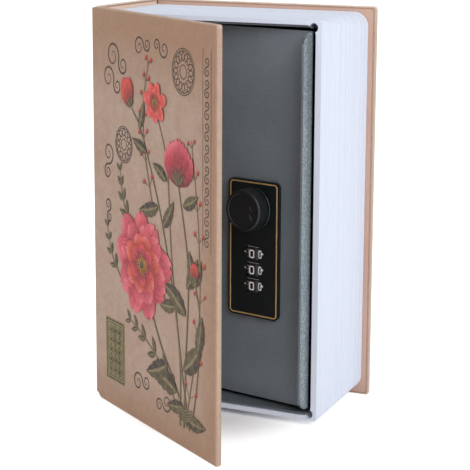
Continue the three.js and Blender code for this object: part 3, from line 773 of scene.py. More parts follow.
def leafDepths():
    # irregular soft grooves: most leaves lie level, some stand back a little
    dice = random.Random(leaves["seed"])
    depths = []
    level, rib, left = 0.0, 0.0, 0
    for step in range(leaves["sections"]):
        if step % leaves["evenLeaves"] == 0:
            level = dice.random() ** 2
        if left == 0:
            left, rib = dice.randint(*leaves["ribLeaves"]), dice.random()
        left -= 1
        valley = 1.0 if left < leaves["valleyLeaves"] else 0.0
        depths.append(level * leaves["ripple"] + rib * leaves["rib"] + valley * leaves["valley"])
    return depths


def blockOutline(low, high, share, groove, lip):
    # outside from the spine round the fore edge, then back along the inside
    outer = leaves["frontCorner"] + (leaves["backCorner"] - leaves["frontCorner"]) * share
    inner, wall, steps, span = leaves["innerCorner"], leaves["wall"], leaves["arcSteps"], leaves["cornerSpan"]
    left, right, bottom, top = low.x / mm, high.x / mm, low.z / mm, high.z / mm
    innerEnd = right - wall - lip - inner
    alongEnd = spread(left, right - span, leaves["endSteps"] + 1)
    upSide = spread(bottom + span, top - span, leaves["sideSteps"] + 1)
    return (
        [(x, bottom + groove) for x in alongEnd]
        + arc(right - outer, bottom + outer, outer - groove, -90, 90, steps)
        + [(right - groove, z) for z in upSide]
        + arc(right - outer, top - outer, outer - groove, 0, 90, steps)
        + [(x, top - groove) for x in reversed(alongEnd)]
        + [(left, top - wall)]
        + arc(innerEnd, top - wall - inner, inner, 90, -90, steps)
        + arc(innerEnd, bottom + wall + inner, inner, 0, -90, steps)
        + [(left, bottom + wall)]
    )


def reliefCutters(low, high):
    # round cuts into the opening's two fore-edge corners
    shift = leaves["reliefReach"] - leaves["relief"]
    x = high.x / mm - leaves["wall"] - leaves["lip"] + shift
    heights = (high.z / mm - leaves["wall"] + shift, low.z / mm + leaves["wall"] - shift)
    return [
        prism(
            "relief_cutter", circle(x, z, leaves["relief"], leaves["reliefSides"]),
            low.y / mm - past, low.y / mm + leaves["reliefDepth"],
            lambda a, b, y: Vector((a, y, b)) * mm, leafFinish,
        ) for z in heights
    ]


def pageBlock():
    low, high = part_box("page_block")
    grooves = leafDepths()
    count, depth = leaves["sections"], high.y - low.y
    points, size = [], 0
    for step in range(count):
        share = step / (count - 1)
        groove = 0.0 if step in (0, count - 1) else grooves[step]
        lip = leaves["lip"] if depth * share / mm < leaves["lipDepth"] else 0.0
        outline = blockOutline(low, high, share, groove, lip)
        size = len(outline)
        points += [(x * mm, low.y + depth * share, z * mm) for x, z in outline]
    faces = bridged(count, size)
    faces.append(tuple(range(size)))
    faces.append(tuple(reversed(range((count - 1) * size, count * size))))
    piece = trimmed(makePiece("leaf_block", points, faces, leafFinish), reliefCutters(low, high))
    piece.data.set_sharp_from_angle(angle=math.radians(leaves["sharpFrom"]))
    return dress(piece, "book_case", "page_plastic", "page_block")


pageBlock()
print("page block lofted")


# Door: one sheet whose free edge is folded forward as a pull
sheet = {
    "left": -4.2, "right": 95.5, "bottom": 7.3, "top": 172.7,
    "front": 4.0, "back": 5.0, "lip": -3.2,
    "bend": 2.2, "bendSteps": (14, 20),
    "bendEase": 0.8,      # keeps the shading of the flat apart from the bend
    "lipRound": 6.2,
    "cornerRound": 1.2,   # the box's inner corners are round, so the sheet's are too
    "opening": (-6.0, 54.0, 6.0, 97.0), "openingRound": 1.0,   # behind the lock, from its centre line
    "earWidth": 14.0, "earReach": 3.6, "earRoot": 0.5, "earRound": 2.5, "earThick": 1.0,
    "bore": 1.8, "boreSides": 48,
    "edge": 0.16,
}


def onDoor(x, y, z):
    return placed(doorPlace, x, y, z)


def fromFront(x, z, y):
    return onDoor(x, y, z)


def fromSide(y, z, x):
    return onDoor(x, y, z)


def cornerOutline(first, second, inward, upward, radius, steps):
    # a cutter that leaves a round corner; inward and upward are 1 or -1, toward the sheet
    beside, below = first - inward * 2 * past, second - upward * 2 * past
    outline = [(beside, below), (first + inward * radius, below)]
    for step in range(steps + 1):
        angle = quarterTurn * step / steps
        outline.append((
            first + inward * radius * (1 - math.sin(angle)), second + upward * radius * (1 - math.cos(angle)),
        ))
    return outline + [(beside, second + upward * radius)]


def doorSheet():
    left, right, front, back, lip = (sheet[key] for key in ("left", "right", "front", "back", "lip"))
    thick, bend = back - front, sheet["bend"]
    centre = (right - bend, back - bend)
    flatEnd = centre[0] - sheet["bendEase"]
    innerSteps, outerSteps = sheet["bendSteps"]
    outline = [(left, back), (left, front), (flatEnd, front)]
    outline += arc(*centre, bend - thick, 90, -90, innerSteps)
    outline += [(right - thick, lip), (right, lip)]
    outline += arc(*centre, bend, 0, 90, outerSteps)
    outline.append((flatEnd, back))
    pan = prism("door_sheet", outline, sheet["bottom"], sheet["top"], onDoor, steelFinish)
    cutters = []
    for end, upward in ((sheet["bottom"], 1), (sheet["top"], -1)):
        corner = cornerOutline(lip, end, 1, upward, sheet["lipRound"], 12)
        cutters.append(prism("lip_cutter", corner, right - 2 * past, right + 2 * past, fromSide, steelFinish))
        corner = cornerOutline(right, end, -1, upward, sheet["cornerRound"], 8)
        cutters.append(prism("corner_cutter", corner, lip - past, back + past, fromFront, steelFinish))
    west, low, east, high = sheet["opening"]
    opening = roundedOutline(lock["centre"] + west, low, lock["centre"] + east, high, sheet["openingRound"])
    cutters.append(prism("lock_cutter", opening, front - past, back + past, fromFront, steelFinish))
    trimmed(pan, cutters, sheet["edge"], weighted=False)
    flatsApart(pan, doorPlace.to_3x3() @ Vector((0, 1, 0)))
    return dress(pan, "door", "grey_steel", "door_pan")


def hingeEars():
    left, thick = sheet["left"], sheet["earThick"]
    outline = roundedOutline(
        left, -sheet["earReach"], left + sheet["earWidth"], sheet["front"] + sheet["earRoot"],
        sheet["earRound"],
    )
    hole = circle(0, 0, sheet["bore"], sheet["boreSides"])
    for name, low in (("hinge_ear_lower", sheet["bottom"]), ("hinge_ear_upper", sheet["top"] - thick)):
        ear = prism(name, outline, low, low + thick, onDoor, steelFinish)
        bore = prism("bore", hole, low - past, low + thick + past, onDoor, steelFinish)
        dress(trimmed(ear, [bore], sheet["edge"]), "door", "grey_steel", "door_pan")


# Lock: plate, gold line, knob and three dials
dialBodies = ("upper_dial", "middle_dial", "lower_dial")
lock = {
    "centre": 65.7,
    "bottom": 44.3, "top": 106.15, "halfWidth": 13.8,
    "front": 2.1, "back": 3.7,
    "corner": 2.6, "cornerSteps": 10, "edge": 0.45,
    "lineInset": 1.12, "lineWidth": 0.68, "lineRise": 0.14, "lineSink": 0.1, "lineSteps": 8,
    "collar": {"radius": 9.85, "bore": 4.0, "back": 1.8, "front": 0.8, "round": 0.45, "chamfer": 0.1},
    "knob": {
        "radius": 9.45, "back": 0.5, "front": -6.0, "round": 1.1, "rim": 8.1, "dish": 0.35,
        # changes of radius and height: from the skirt's back, from the dish's rim, and then
        # a share of the rim's radius and the height over the dish
        "skirt": ((-0.35, 0.0), (-0.1, -0.1), (0.0, -0.35), (-0.12, -2.4), (-0.16, -4.6)),
        "dishEdge": ((0.1, 0.0), (-0.12, 0.04), (-0.3, 0.16), (-0.5, 0.35)),
        "dishFloor": ((0.6, 0.05), (0.0, 0.08)),
    },
    "knobSides": 128, "knobHeight": joints["knob_turn"]["pos_m"][2] / mm,
    "dialHeights": [joints[body + "_spin"]["pos_m"][2] / mm for body in dialBodies],
    "dialDepth": 6.8,
    "windowRadius": 5.6, "windowHeight": 6.0, "windowSides": 96,
}


def plateOutline(gap=0.0):
    centre, wide = lock["centre"], lock["halfWidth"] - gap
    return roundedOutline(
        centre - wide, lock["bottom"] + gap, centre + wide, lock["top"] - gap,
        lock["corner"] - gap, lock["cornerSteps"],
    )


def aroundDial(height):
    # for a profile that turns about a dial's axis
    def spot(radius, rise, angle):
        x, y = lock["centre"] + radius * math.cos(angle), lock["dialDepth"] + radius * math.sin(angle)
        return onDoor(x, y, height + rise)

    return spot


def lockPlate():
    plate = prism("lock_face", plateOutline(), lock["front"], lock["back"], fromFront, plateFinish)
    wide, half = lock["windowRadius"], lock["windowHeight"] / 2
    profile = [(0, -half), (wide, -half), (wide, half), (0, half)]
    cutters = [
        lathe("window_cutter", profile, lock["windowSides"], aroundDial(height), plateFinish)
        for height in lock["dialHeights"]
    ]
    trimmed(plate, cutters, lock["edge"], limit=60)
    return dress(plate, "door", "black_plastic", "lock_plate")


def goldLine():
    # a low rounded ridge all round the plate
    steps, half = lock["lineSteps"], lock["lineWidth"] / 2
    points, count = [], 0
    for step in range(steps + 1):
        angle = math.pi * step / steps
        rise = lock["lineRise"] * math.sin(angle) - (lock["lineSink"] if step in (0, steps) else 0)
        ring = plateOutline(lock["lineInset"] + half * math.cos(angle))
        count = len(ring)
        points += [onDoor(x, lock["front"] - rise, z) for x, z in ring]
    line = facingOut(makePiece("gold_line", points, bridged(steps + 1, count, closed=True), goldFinish))
    return dress(line, "door", "gold_trim", "plate_border")


def aroundKnob(radius, height, angle):
    # for a profile that stands out from the plate at the knob
    x, z = lock["centre"] + radius * math.cos(angle), lock["knobHeight"] + radius * math.sin(angle)
    return onDoor(x, height, z)


def knobParts():
    ring = lock["collar"]
    wide, bore, back, front, chamfer = (ring[key] for key in ("radius", "bore", "back", "front", "chamfer"))
    turn = ring["round"]
    profile = [(bore, front), (bore, back), (wide - chamfer, back), (wide, back - chamfer)]
    profile += [(wide - turn + a, front + turn - b) for a, b in arc(0, 0, turn, 0, 90)]
    profile.append((bore, front))
    collar = lathe("collar_ring", profile, lock["knobSides"], aroundKnob, collarFinish)
    dress(collar, "door", "black_plastic", "knob_collar")
    grip = lock["knob"]
    wide, back, front, turn, rim = (grip[key] for key in ("radius", "back", "front", "round", "rim"))
    profile = [(0, back)] + [(wide + a, back + b) for a, b in grip["skirt"]]
    shoulder = wide + grip["skirt"][-1][0] - turn
    profile += [(shoulder + a, front + turn - b) for a, b in arc(0, 0, turn, 0, 90, 9)]
    profile += [(rim + a, front + b) for a, b in grip["dishEdge"]]
    profile += [(rim * share, front + grip["dish"] + b) for share, b in grip["dishFloor"]]
    knob = lathe("knob_grip", profile, lock["knobSides"], aroundKnob, knobFinish)
    dress(knob, "turning_knob", "black_plastic", "knob")


# Painted lines: softened corners, then two edges along them
def softened(path, radius, steps=5):
    path = [Vector(point) for point in path]
    result = [path[0]]
    for before, corner, after in zip(path, path[1:], path[2:]):
        inward, onward = (before - corner).normalized(), (after - corner).normalized()
        for step in range(steps + 1):
            share = step / steps
            result.append(corner + inward * radius * (1 - share) ** 2 + onward * radius * share ** 2)
    return result + [path[-1]]


def edgePairs(path, widths):
    # widths is one number, or one for each point of the path
    if isinstance(widths, float):
        widths = [widths] * len(path)
    pairs = []
    for index, point in enumerate(path):
        before, after = path[max(index - 1, 0)], path[min(index + 1, len(path) - 1)]
        along = (after - before).normalized()
        side = Vector((-along.y, along.x)) * widths[index] / 2
        pairs.append((point + side, point - side))
    return pairs


def lineMarks(name, strips, material):
    # strips of placed edge points, joined into flat ribbons
    points, faces = [], []
    for strip in strips:
        first = len(points)
        for pair in strip:
            points += pair
        faces += [(step, step + 1, step + 3, step + 2) for step in range(first, len(points) - 2, 2)]
    return makePiece(name, points, faces, material)


def disc(centre, radius, sides=20):
    # a round dot as a ribbon: pairs run from its left end to its right end
    pairs = []
    for step in range(1, sides):
        angle = math.pi * step / sides
        x, y = centre[0] - radius * math.cos(angle), radius * math.sin(angle)
        pairs.append((Vector((x, centre[1] + y)), Vector((x, centre[1] - y))))
    return pairs


# Dial wheels and their figures
dial = {
    "facets": 10,
    "flat": 5.3,           # from the axis to a facet
    "flatHalf": 14.6,      # half a facet's width as a turn
    "notch": 0.32,         # between the facets
    "facet": ((-17.9, 1.0), (-16.4, 0.6), (-14.6, 0), (-7.3, 0), (0.0, 0), (7.3, 0), (14.6, 0), (16.4, 0.6)),
    "half": 2.9, "chamfer": 0.35, "bore": 1.5,
    "figureHalf": (1.08, 1.6), "figureShift": -0.25,
    "stroke": 0.57, "cornerRound": 0.55, "lift": 0.03,
    "sharpFrom": 28,
}
ovalLine = [(0, -1), (1, -1), (1, 1), (-1, 1), (-1, -1), (0, -1)]
figureLines = (
    [ovalLine],
    [[(0.3, 0.55), (1, 1), (1, -1)]],
    [[(-1, 1), (1, 1), (1, 0), (-1, 0), (-1, -1), (1, -1)]],
    [[(-1, 1), (1, 1), (1, -1), (-1, -1)], [(-0.4, 0), (1, 0)]],
    [[(-1, 1), (-1, -0.1), (1, -0.1)], [(0.6, 1), (0.6, -1)]],
    [[(1, 1), (-1, 1), (-1, 0), (1, 0), (1, -1), (-1, -1)]],
    [[(1, 1), (-1, 1), (-1, -1), (1, -1), (1, 0), (-1, 0)]],
    [[(-1, 1), (1, 1), (0, -1)]],
    [ovalLine, [(-1, 0), (1, 0)]],
    [[(1, 0), (-1, 0), (-1, 1), (1, 1), (1, -1), (-1, -1)]],
)


def onWheel(height, angle, across, out, rise):
    # angle turns from the front of the wheel toward its right
    right, ahead = toward(angle), Vector((math.sin(angle), -math.cos(angle)))
    spot = right * across + ahead * out
    return onDoor(lock["centre"] + spot.x, lock["dialDepth"] + spot.y, height + rise)


def dialWheel(index, height, body):
    facetTurn = 360 / dial["facets"]
    sides = []
    for facet in range(dial["facets"]):
        for offset, notched in dial["facet"]:
            reach = dial["flat"] / math.cos(math.radians(min(abs(offset), dial["flatHalf"])))
            sides.append((math.radians(facetTurn * facet + offset), reach - dial["notch"] * notched))
    half, chamfer = dial["half"], dial["chamfer"]
    levels = [(-half, -chamfer), (-half + chamfer, 0), (half - chamfer, 0), (half, -chamfer)]
    points = [onWheel(height, angle, 0, dial["bore"], -half) for angle, _ in sides]
    for rise, inset in levels:
        points += [onWheel(height, angle, 0, reach + inset, rise) for angle, reach in sides]
    points += [onWheel(height, angle, 0, dial["bore"], half) for angle, _ in sides]
    faces = bridged(len(levels) + 2, len(sides), closed=True)
    wheel = facingOut(makePiece(f"dial_wheel_{index}", points, faces, wheelFinish))
    wheel.data.set_sharp_from_angle(angle=math.radians(dial["sharpFrom"]))
    dress(wheel, body, "black_plastic", f"dial_{index}")
    wide, tall = dial["figureHalf"]
    out = dial["flat"] + dial["lift"]
    strips = []
    for figure, lines in enumerate(figureLines):
        angle = math.radians(facetTurn * figure)
        for line in lines:
            scaled = [(x * wide + dial["figureShift"], z * tall) for x, z in line]
            pairs = edgePairs(softened(scaled, dial["cornerRound"]), dial["stroke"])
            strips.append([[onWheel(height, angle, end.x, out, end.y) for end in pair] for pair in pairs])
    dress(lineMarks(f"dial_figures_{index}", strips, whitePaint), body, "page_plastic")


# Marks painted on the plate beside each dial, a painted highlight along the top edge of each window, and two
# cut into the knob's face
marks = {
    "lift": 0.03,
    "loopPlace": (69.55, 0.15), "loopHalf": (0.68, 1.6), "loopRound": 0.66, "loopSteps": 7,
    "stroke": 0.48,
    "tick": ((70.4, 0.5), (71.3, 0.5)), "tickWidths": (1.1, 0.5),
    "dot": (61.5, 0.55), "dotRadius": 0.5,
    "windowHighlight": ((62.7, 3.2), (68.9, 3.2)), "windowHighlightWidth": 0.24,
    "knobMarks": (((3.6, 2.3), (4.9, 0.0)), ((3.5, -1.0), (4.9, -4.0))),
    "knobMarkWidth": 0.4, "knobMarkSteps": 6, "knobMarkLift": 0.02,
}


def plateMarks():
    level = lock["front"] - marks["lift"]
    x, rise = marks["loopPlace"]
    wide, tall = marks["loopHalf"]
    loop = [(x + a * wide, rise + b * tall) for a, b in ovalLine]
    loop = softened(loop, marks["loopRound"], marks["loopSteps"])
    tick, windowHighlight = ([Vector(end) for end in marks[key]] for key in ("tick", "windowHighlight"))

    def laid(pairs, height):
        return [[onDoor(end.x, level, height + end.y) for end in pair] for pair in pairs]

    white, dotsAndHighlights = [], []
    for height in lock["dialHeights"]:
        white.append(laid(edgePairs(loop, marks["stroke"]), height))
        white.append(laid(edgePairs(tick, marks["tickWidths"]), height))
        dotsAndHighlights.append(laid(disc(marks["dot"], marks["dotRadius"]), height))
        # a grey line along each window's top edge is a painted highlight where the edge catches the light
        dotsAndHighlights.append(laid(edgePairs(windowHighlight, marks["windowHighlightWidth"]), height))
    dress(lineMarks("plate_index_marks", white, whitePaint), "door", "page_plastic")
    dress(lineMarks("plate_dots_and_painted_highlights", dotsAndHighlights, markAndHighlightPaint), "door", "plated_steel")


def knobMarks():
    face = lock["knob"]["front"] + lock["knob"]["dish"] + marks["knobMarkLift"]
    steps = marks["knobMarkSteps"]
    shares = [step / steps for step in range(steps + 1)]
    widths = [marks["knobMarkWidth"] * (0.5 + 0.5 * math.sin(math.pi * share)) for share in shares]
    strips = []
    for start, end in marks["knobMarks"]:
        path = [Vector(start).lerp(Vector(end), share) for share in shares]
        strips.append([
            [onDoor(lock["centre"] + end.x, face, lock["knobHeight"] + end.y) for end in pair]
            for pair in edgePairs(path, widths)
        ])
    dress(lineMarks("knob_marks", strips, dimPaint), "turning_knob", "plated_steel")


doorSheet()
hingeEars()
print("door folded")
lockPlate()
goldLine()
knobParts()
for index, (height, body) in enumerate(zip(lock["dialHeights"], dialBodies), 1):
    dialWheel(index, height, body)
plateMarks()
knobMarks()
print("lock made")


# Print on the front cover: a tied spray of field flowers, scrolls, rosettes and a small tile.
# Places are counted along the cover from its fold and up from its tail edge
design = {
    "lift": 0.03, "layer": 0.0015,   # every shape lies a little over the one before
    "seed": 23,
    "leastWidth": 0.03, "ripple": 2.1,
    "petal": {
        "power": 1.55, "blunt": 0.5, "rows": 10, "wave": 0.06, "notch": 0.08,
        "columns": (-1, -0.8, -0.4, 0, 0.4, 0.8, 1),
        "uneven": 0.12, "rise": 0.95, "ease": 1.2, "lit": 0.22, "foldShade": 0.35,
        "tipStart": 0.66, "tipShare": 0.7,
    },
    "leaf": {
        "power": 0.8, "blunt": 0.9, "rows": 16, "wave": 0.09, "notch": 0.0,
        "columns": (-1, -0.6, -0.25, -0.05, 0.05, 0.25, 0.6, 1),
        "uneven": 0.1, "midrib": 0.8, "lit": 0.62, "shaded": 0.22, "vein": 0.18, "veins": 21,
    },
    "crimson": colour(112, 12, 34), "pink": colour(212, 66, 86), "blush": colour(236, 136, 142),
    "coral": colour(222, 84, 60), "ochre": colour(198, 146, 58),
    "umber": colour(38, 31, 26), "olive": colour(104, 92, 60), "sage": colour(146, 132, 94),
    "ink": colour(48, 31, 25), "tile": colour(132, 122, 78), "tileLine": colour(34, 31, 14),
}
dice = random.Random(design["seed"])
printed = {"shapes": 0}


def blended(first, second, share):
    return tuple(a + (b - a) * share for a, b in zip(first, second))


def newInk():
    return {"points": [], "faces": [], "shades": [], "veins": []}


def layGrid(ink, rows):
    # rows of ((x, z), shade, (along, across)), all rows of one length
    printed["shapes"] += 1
    rise = design["lift"] + design["layer"] * printed["shapes"]
    first, wide, seed = len(ink["points"]), len(rows[0]), dice.random()
    for row in rows:
        for (x, z), shade, (along, across) in row:
            ink["points"].append((x, z, rise))
            ink["shades"].append(shade)
            ink["veins"].append((along, across, seed))
    for row in range(len(rows) - 1):
        for column in range(wide - 1):
            here = first + row * wide + column
            ink["faces"].append((here, here + 1, here + wide + 1, here + wide))


def stroke(ink, path, widths, shade, far=None):
    pairs = edgePairs(path, widths)
    rows = []
    for index, (left, right) in enumerate(pairs):
        along = index / (len(pairs) - 1)
        rows.append([(left, shade, (along, -1)), (right, far or shade, (along, 1))])
    layGrid(ink, rows)


def dot(ink, centre, radius, sides, shade, far):
    layGrid(ink, [[(a, shade, (0, -1)), (b, far, (0, 1))] for a, b in disc(centre, radius, sides)])


def blade(ink, base, heading, length, width, bend, form, shade):
    # a petal or leaf from its base along a bent middle line; across runs right to left
    heading, bend = math.radians(heading), math.radians(bend)
    spot, rows, count = Vector(base), [], form["rows"]
    for step in range(count + 1):
        along = step / count
        angle = heading + bend * along
        ahead, side = toward(angle), Vector((math.sin(angle), -math.cos(angle)))
        if step:
            spot = spot + ahead * (length / count)
        profile = max(design["leastWidth"], math.sin(math.pi * along ** form["power"])) ** form["blunt"]
        edge = 1 + form["wave"] * math.sin(along * count * design["ripple"])
        row = []
        for across in form["columns"]:
            reach = width / 2 * profile * (1 + (edge - 1) * abs(across))
            dent = form["notch"] * length * abs(across) ** 1.5 * along ** 5
            place = spot + side * (across * -reach) + ahead * dent
            row.append((place, shade(along, across), (along, across)))
        rows.append(list(reversed(row)))
    layGrid(ink, rows)


def petal(ink, base, heading, length, width, bend, shades):
    # deep at the base, lighter outward and on the side in the light, with a pale tip
    form = design["petal"]
    deep, light, tip = (design[name] for name in shades)
    lift = dice.uniform(-form["uneven"], form["uneven"])

    def shade(along, across):
        lit, folded = form["lit"] * (across > 0.5), form["foldShade"] * abs(across) * (1 - along)
        base = blended(deep, light, clamped(form["rise"] * along ** form["ease"] + lift + lit - folded))
        pale = form["tipShare"] * smooth((along - form["tipStart"]) / (1 - form["tipStart"]))
        return blended(base, tip, pale * (0.4 + 0.6 * (across > 0)))

    blade(ink, base, heading, length, width, bend, form, shade)


def leaf(ink, base, heading, length, width, bend):
    # one half lies in the light, with fine veins to each side of the midrib
    form = design["leaf"]
    lift = dice.uniform(-form["uneven"], form["uneven"])

    def shade(along, across):
        if abs(across) < 0.1:
            return blended(design["olive"], design["sage"], form["midrib"])
        veined = form["vein"] * math.sin(along * form["veins"]) * (abs(across) > 0.2)
        tone = (form["lit"] if across > 0 else form["shaded"]) + lift + veined
        return blended(design["umber"], design["olive"], clamped(tone))

    blade(ink, base, heading, length, width, bend, form, shade)


def through(knots, count):
    # a smooth line through the knots
    knots = [Vector(knot) for knot in knots]
    knots = [2 * knots[0] - knots[1]] + knots + [2 * knots[-1] - knots[-2]]
    path, spans = [], len(knots) - 3
    for step in range(count + 1):
        run = spans * step / count
        span = min(int(run), spans - 1)
        t = run - span
        a, b, c, d = knots[span:span + 4]
        square, cube = 2 * a - 5 * b + 4 * c - d, 3 * b - a - 3 * c + d
        path.append(0.5 * (2 * b + (c - a) * t + square * t ** 2 + cube * t ** 3))
    return path


def tapered(count, thin, thick):
    return [thin + (thick - thin) * math.sin(math.pi * step / count) ** 1.5 for step in range(count + 1)]


# Scrolls, rosettes, border lines and the tile
border = {
    "scrolls": (   # centre and radius of one curl, radius of the other, heading, turns, thickness
        ((20, 160), 6.0, 4.2, -20, 1.6, 0.9), ((24, 147), 3.6, 5.4, 160, 1.5, 0.8),
        ((45, 166), 4.4, 3.0, 10, 1.5, 0.7), ((61, 168), 2.6, 4.0, -12, 1.4, 0.7),
        ((14, 108), 3.4, 5.0, 84, 1.6, 0.8), ((14, 93), 3.0, 2.6, -80, 1.5, 0.8),
        ((42, 18), 4.6, 3.4, 12, 1.5, 0.8), ((62, 13), 3.0, 4.2, 20, 1.5, 0.7),
    ),
    "scrollThin": 0.32, "scrollBold": 1.15,
    "chain": {"count": 9, "place": (103.5, 92), "rise": 8.6, "form": (2.1, 1.9, 92, 1.3, 0.5)},
    "lines": (106.8, 100.2), "lineHeights": (88, 130, 170), "lineSteps": 12, "lineWidth": 0.3,
    "rosettes": (((84, 159), 9.5, 8), ((30, 122), 8.0, 6)),   # centre, radius, lobes
    "rings": ((1.0, 0.0), (0.9, 0.0), (0.66, 0.2), (0.66, -0.2), (0.3, 0.0)),   # reach, wave
    "ringSteps": 96, "ringWidth": 0.42,
}
tile = {
    "left": 10.5, "low": 12, "right": 29, "high": 41, "grid": (6, 8),
    "frames": ((0.9, 0.6), (2.2, 0.3)),   # inset, width
    "latticeInset": 3.0, "columns": 3, "rows": 5, "lineWidth": 0.3, "dotShare": 0.2,
}


def curl(centre, radius, heading, turns, count=30, eye=0.2):
    # a line that winds in to its centre
    path = []
    for step in range(count + 1):
        share = step / count
        reach = eye + (radius - eye) * (1 - share) ** 0.8
        path.append(Vector(centre) + toward(heading + 2 * math.pi * turns * share) * reach)
    return path


def scroll(ink, centre, first, second, heading, turns, thick):
    # two curls joined into one double scroll
    heading = math.radians(heading)
    far = Vector(centre) + toward(heading) * (first + second)
    path = curl(centre, first, heading, turns)[::-1] + curl(far, second, heading + math.pi, turns)[1:]
    widths = tapered(len(path) - 1, border["scrollThin"], thick * border["scrollBold"])
    stroke(ink, path, widths, design["ink"])


def rosette(ink, centre, radius, lobes):
    # rings and a lobed line, drawn thin
    count = border["ringSteps"]
    for reach, wave in border["rings"]:
        path = []
        for step in range(count + 1):
            angle = 2 * math.pi * step / count
            path.append(Vector(centre) + toward(angle) * (radius * (reach + wave * math.cos(lobes * angle))))
        stroke(ink, path, border["ringWidth"], design["ink"])


def ringStrokes(ink, ring, steps, width):
    for start, end in zip(ring, ring[1:] + ring[:1]):
        path = [Vector(start).lerp(Vector(end), step / steps) for step in range(steps + 1)]
        stroke(ink, path, width, design["tileLine"])


def printTile(ink):
    # a small olive tile with a diamond lattice inside a double frame
    left, low, right, high = (tile[key] for key in ("left", "low", "right", "high"))
    across, up = tile["grid"]
    layGrid(ink, [[
        ((left + (right - left) * i / across, low + (high - low) * j / up),
         design["tile"], (i / across, 2 * j / up))
        for i in range(across + 1)
    ] for j in range(up + 1)])
    for inset, width in tile["frames"]:
        west, south, east, north = left + inset, low + inset, right - inset, high - inset
        ringStrokes(ink, [(west, south), (east, south), (east, north), (west, north)], 4, width)
    inset, columns, rows = tile["latticeInset"], tile["columns"], tile["rows"]
    wide, tall = (right - left - 2 * inset) / columns, (high - low - 2 * inset) / rows
    for column in range(columns):
        for row in range(rows):
            x, z = left + inset + wide * column, low + inset + tall * row
            ring = [(x + wide / 2, z), (x + wide, z + tall / 2), (x + wide / 2, z + tall), (x, z + tall / 2)]
            ringStrokes(ink, ring, 2, tile["lineWidth"])
            middle = (x + wide / 2, z + tall / 2)
            dot(ink, middle, min(wide, tall) * tile["dotShare"], 8, design["tileLine"], design["tileLine"])


def printBorder(lines, tileInk):
    for form in border["scrolls"]:
        scroll(lines, *form)
    chain = border["chain"]
    x, z = chain["place"]
    for step in range(chain["count"]):
        scroll(lines, (x, z + chain["rise"] * step), *chain["form"])
    for x in border["lines"]:
        path = through([(x, z) for z in border["lineHeights"]], border["lineSteps"])
        stroke(lines, path, border["lineWidth"], design["ink"])
    for form in border["rosettes"]:
        rosette(lines, *form)
    printTile(tileInk)


# The spray: stems rise from the tie at the lower right
spray = {
    "stems": (   # knots of the line, thickness
        (((87, 10), (78, 24), (64, 40), (50, 62)), 1.5),
        (((84, 9), (86, 40), (88, 78), (80, 112)), 1.3),
        (((81, 9), (80, 44), (66, 92), (48, 128), (38, 139)), 1.1),
        (((89, 9), (82, 36), (74, 78), (70, 118), (62, 138)), 0.9),
        (((91, 11), (96, 34), (98, 58), (94, 74)), 0.9),
    ),
    "sprigs": (   # knots of the line, pairs of leaves, their reach, berries in their stead
        (((80, 14), (66, 30), (48, 40), (34, 45)), 6, 9, False),
        (((86, 12), (97, 56), (97, 94), (91, 132)), 9, 6, True),
        (((36, 86), (29, 98), (26, 111)), 4, 7, False),
        (((58, 96), (50, 122), (49, 142), (54, 161)), 7, 5, True),
        (((26, 62), (17, 72), (13, 84)), 4, 6, False),
    ),
    "foot": 1.15, "stemTaper": 0.45, "sprigTaper": 0.55,   # thick and wide at the foot, less toward the end
    "sprigWidth": 0.6, "sprigTurn": 46, "sprigUneven": 8, "sprigBend": -20, "sprigSlim": 0.38,
    "stalkWidth": 0.3, "berry": (0.85, 1.15),
    "leaves": (   # foot, heading, length, width, bend
        ((78, 23), 158, 26, 10, 22), ((70, 33), 214, 21, 9, -24), ((84, 34), 30, 22, 9.5, 26),
        ((86, 58), 142, 22, 8.5, 20), ((87, 70), 44, 17, 7.5, 24), ((77, 60), 196, 15, 6, -20),
        ((96, 44), 70, 17, 7, 14), ((94, 72), 118, 15, 6.5, -16), ((94, 72), 60, 13, 5.5, 12),
        ((62, 100), 204, 18, 6.5, -22), ((66, 92), 40, 16, 6, 22), ((52, 122), 170, 14, 5, -14),
        ((84, 104), 12, 14, 5.5, 24), ((70, 112), 148, 14, 5, 12), ((45, 131), 62, 13, 5, 14),
        ((84, 18), 196, 15, 6, -12), ((86, 14), -12, 17, 6.5, 20),
    ),
    "tie": {
        "turns": 5, "rise": 1.1, "knots": ((79.5, 13), (85, 12.2), (92, 14)),
        "widths": (0.4, 0.9), "steps": 10,
    },
}
rosy, warm, soft = ("crimson", "pink", "blush"), ("crimson", "coral", "pink"), ("crimson", "coral", "blush")
blooms = (   # open ones with rings of (petals, reach, width, start, shades), and some seen from the side
    {"centre": (47, 72), "radius": 24, "squash": 0.86, "eye": 5.2, "stamens": 22, "rings": (
        (9, 1.0, 0.66, 10, rosy), (8, 0.8, 0.56, 28, rosy),
        (7, 0.58, 0.44, 5, soft), (6, 0.36, 0.3, 25, ("crimson", "pink", "coral")),
    )},
    {"foot": (79.5, 112), "heading": 84, "length": 19, "fan": 58, "petals": 8, "shades": rosy},
    {"foot": (37.5, 139.5), "heading": 118, "length": 13, "fan": 26, "petals": 4, "shades": warm},
    {"centre": (60, 144), "radius": 9.5, "squash": 0.8, "eye": 2.4, "stamens": 9, "rings": (
        (7, 1.0, 0.62, 15, ("pink", "coral", "blush")), (6, 0.62, 0.5, 40, soft),
    )},
    {"foot": (94, 74), "heading": 88, "length": 8, "fan": 24, "petals": 4, "shades": warm},
)
openForm = {
    "turn": 6, "length": (0.92, 1.06), "bend": 14,   # how unevenly the petals grow
    "foot": 0.06, "narrowing": 0.25,
    "stamenTurn": 0.1, "stamenLength": (0.6, 1.0), "stamenWidth": 0.35, "stamenTip": 0.55, "eyeShare": 0.34,
}
sideForm = {
    "length": (0.94, 1.05), "shortening": 0.12, "width": 0.52, "bend": 0.7,
    "sepals": (-62, 58, -22, 20), "sepalLength": 0.42, "sepalWidth": 0.13, "sepalBend": 0.5,
}


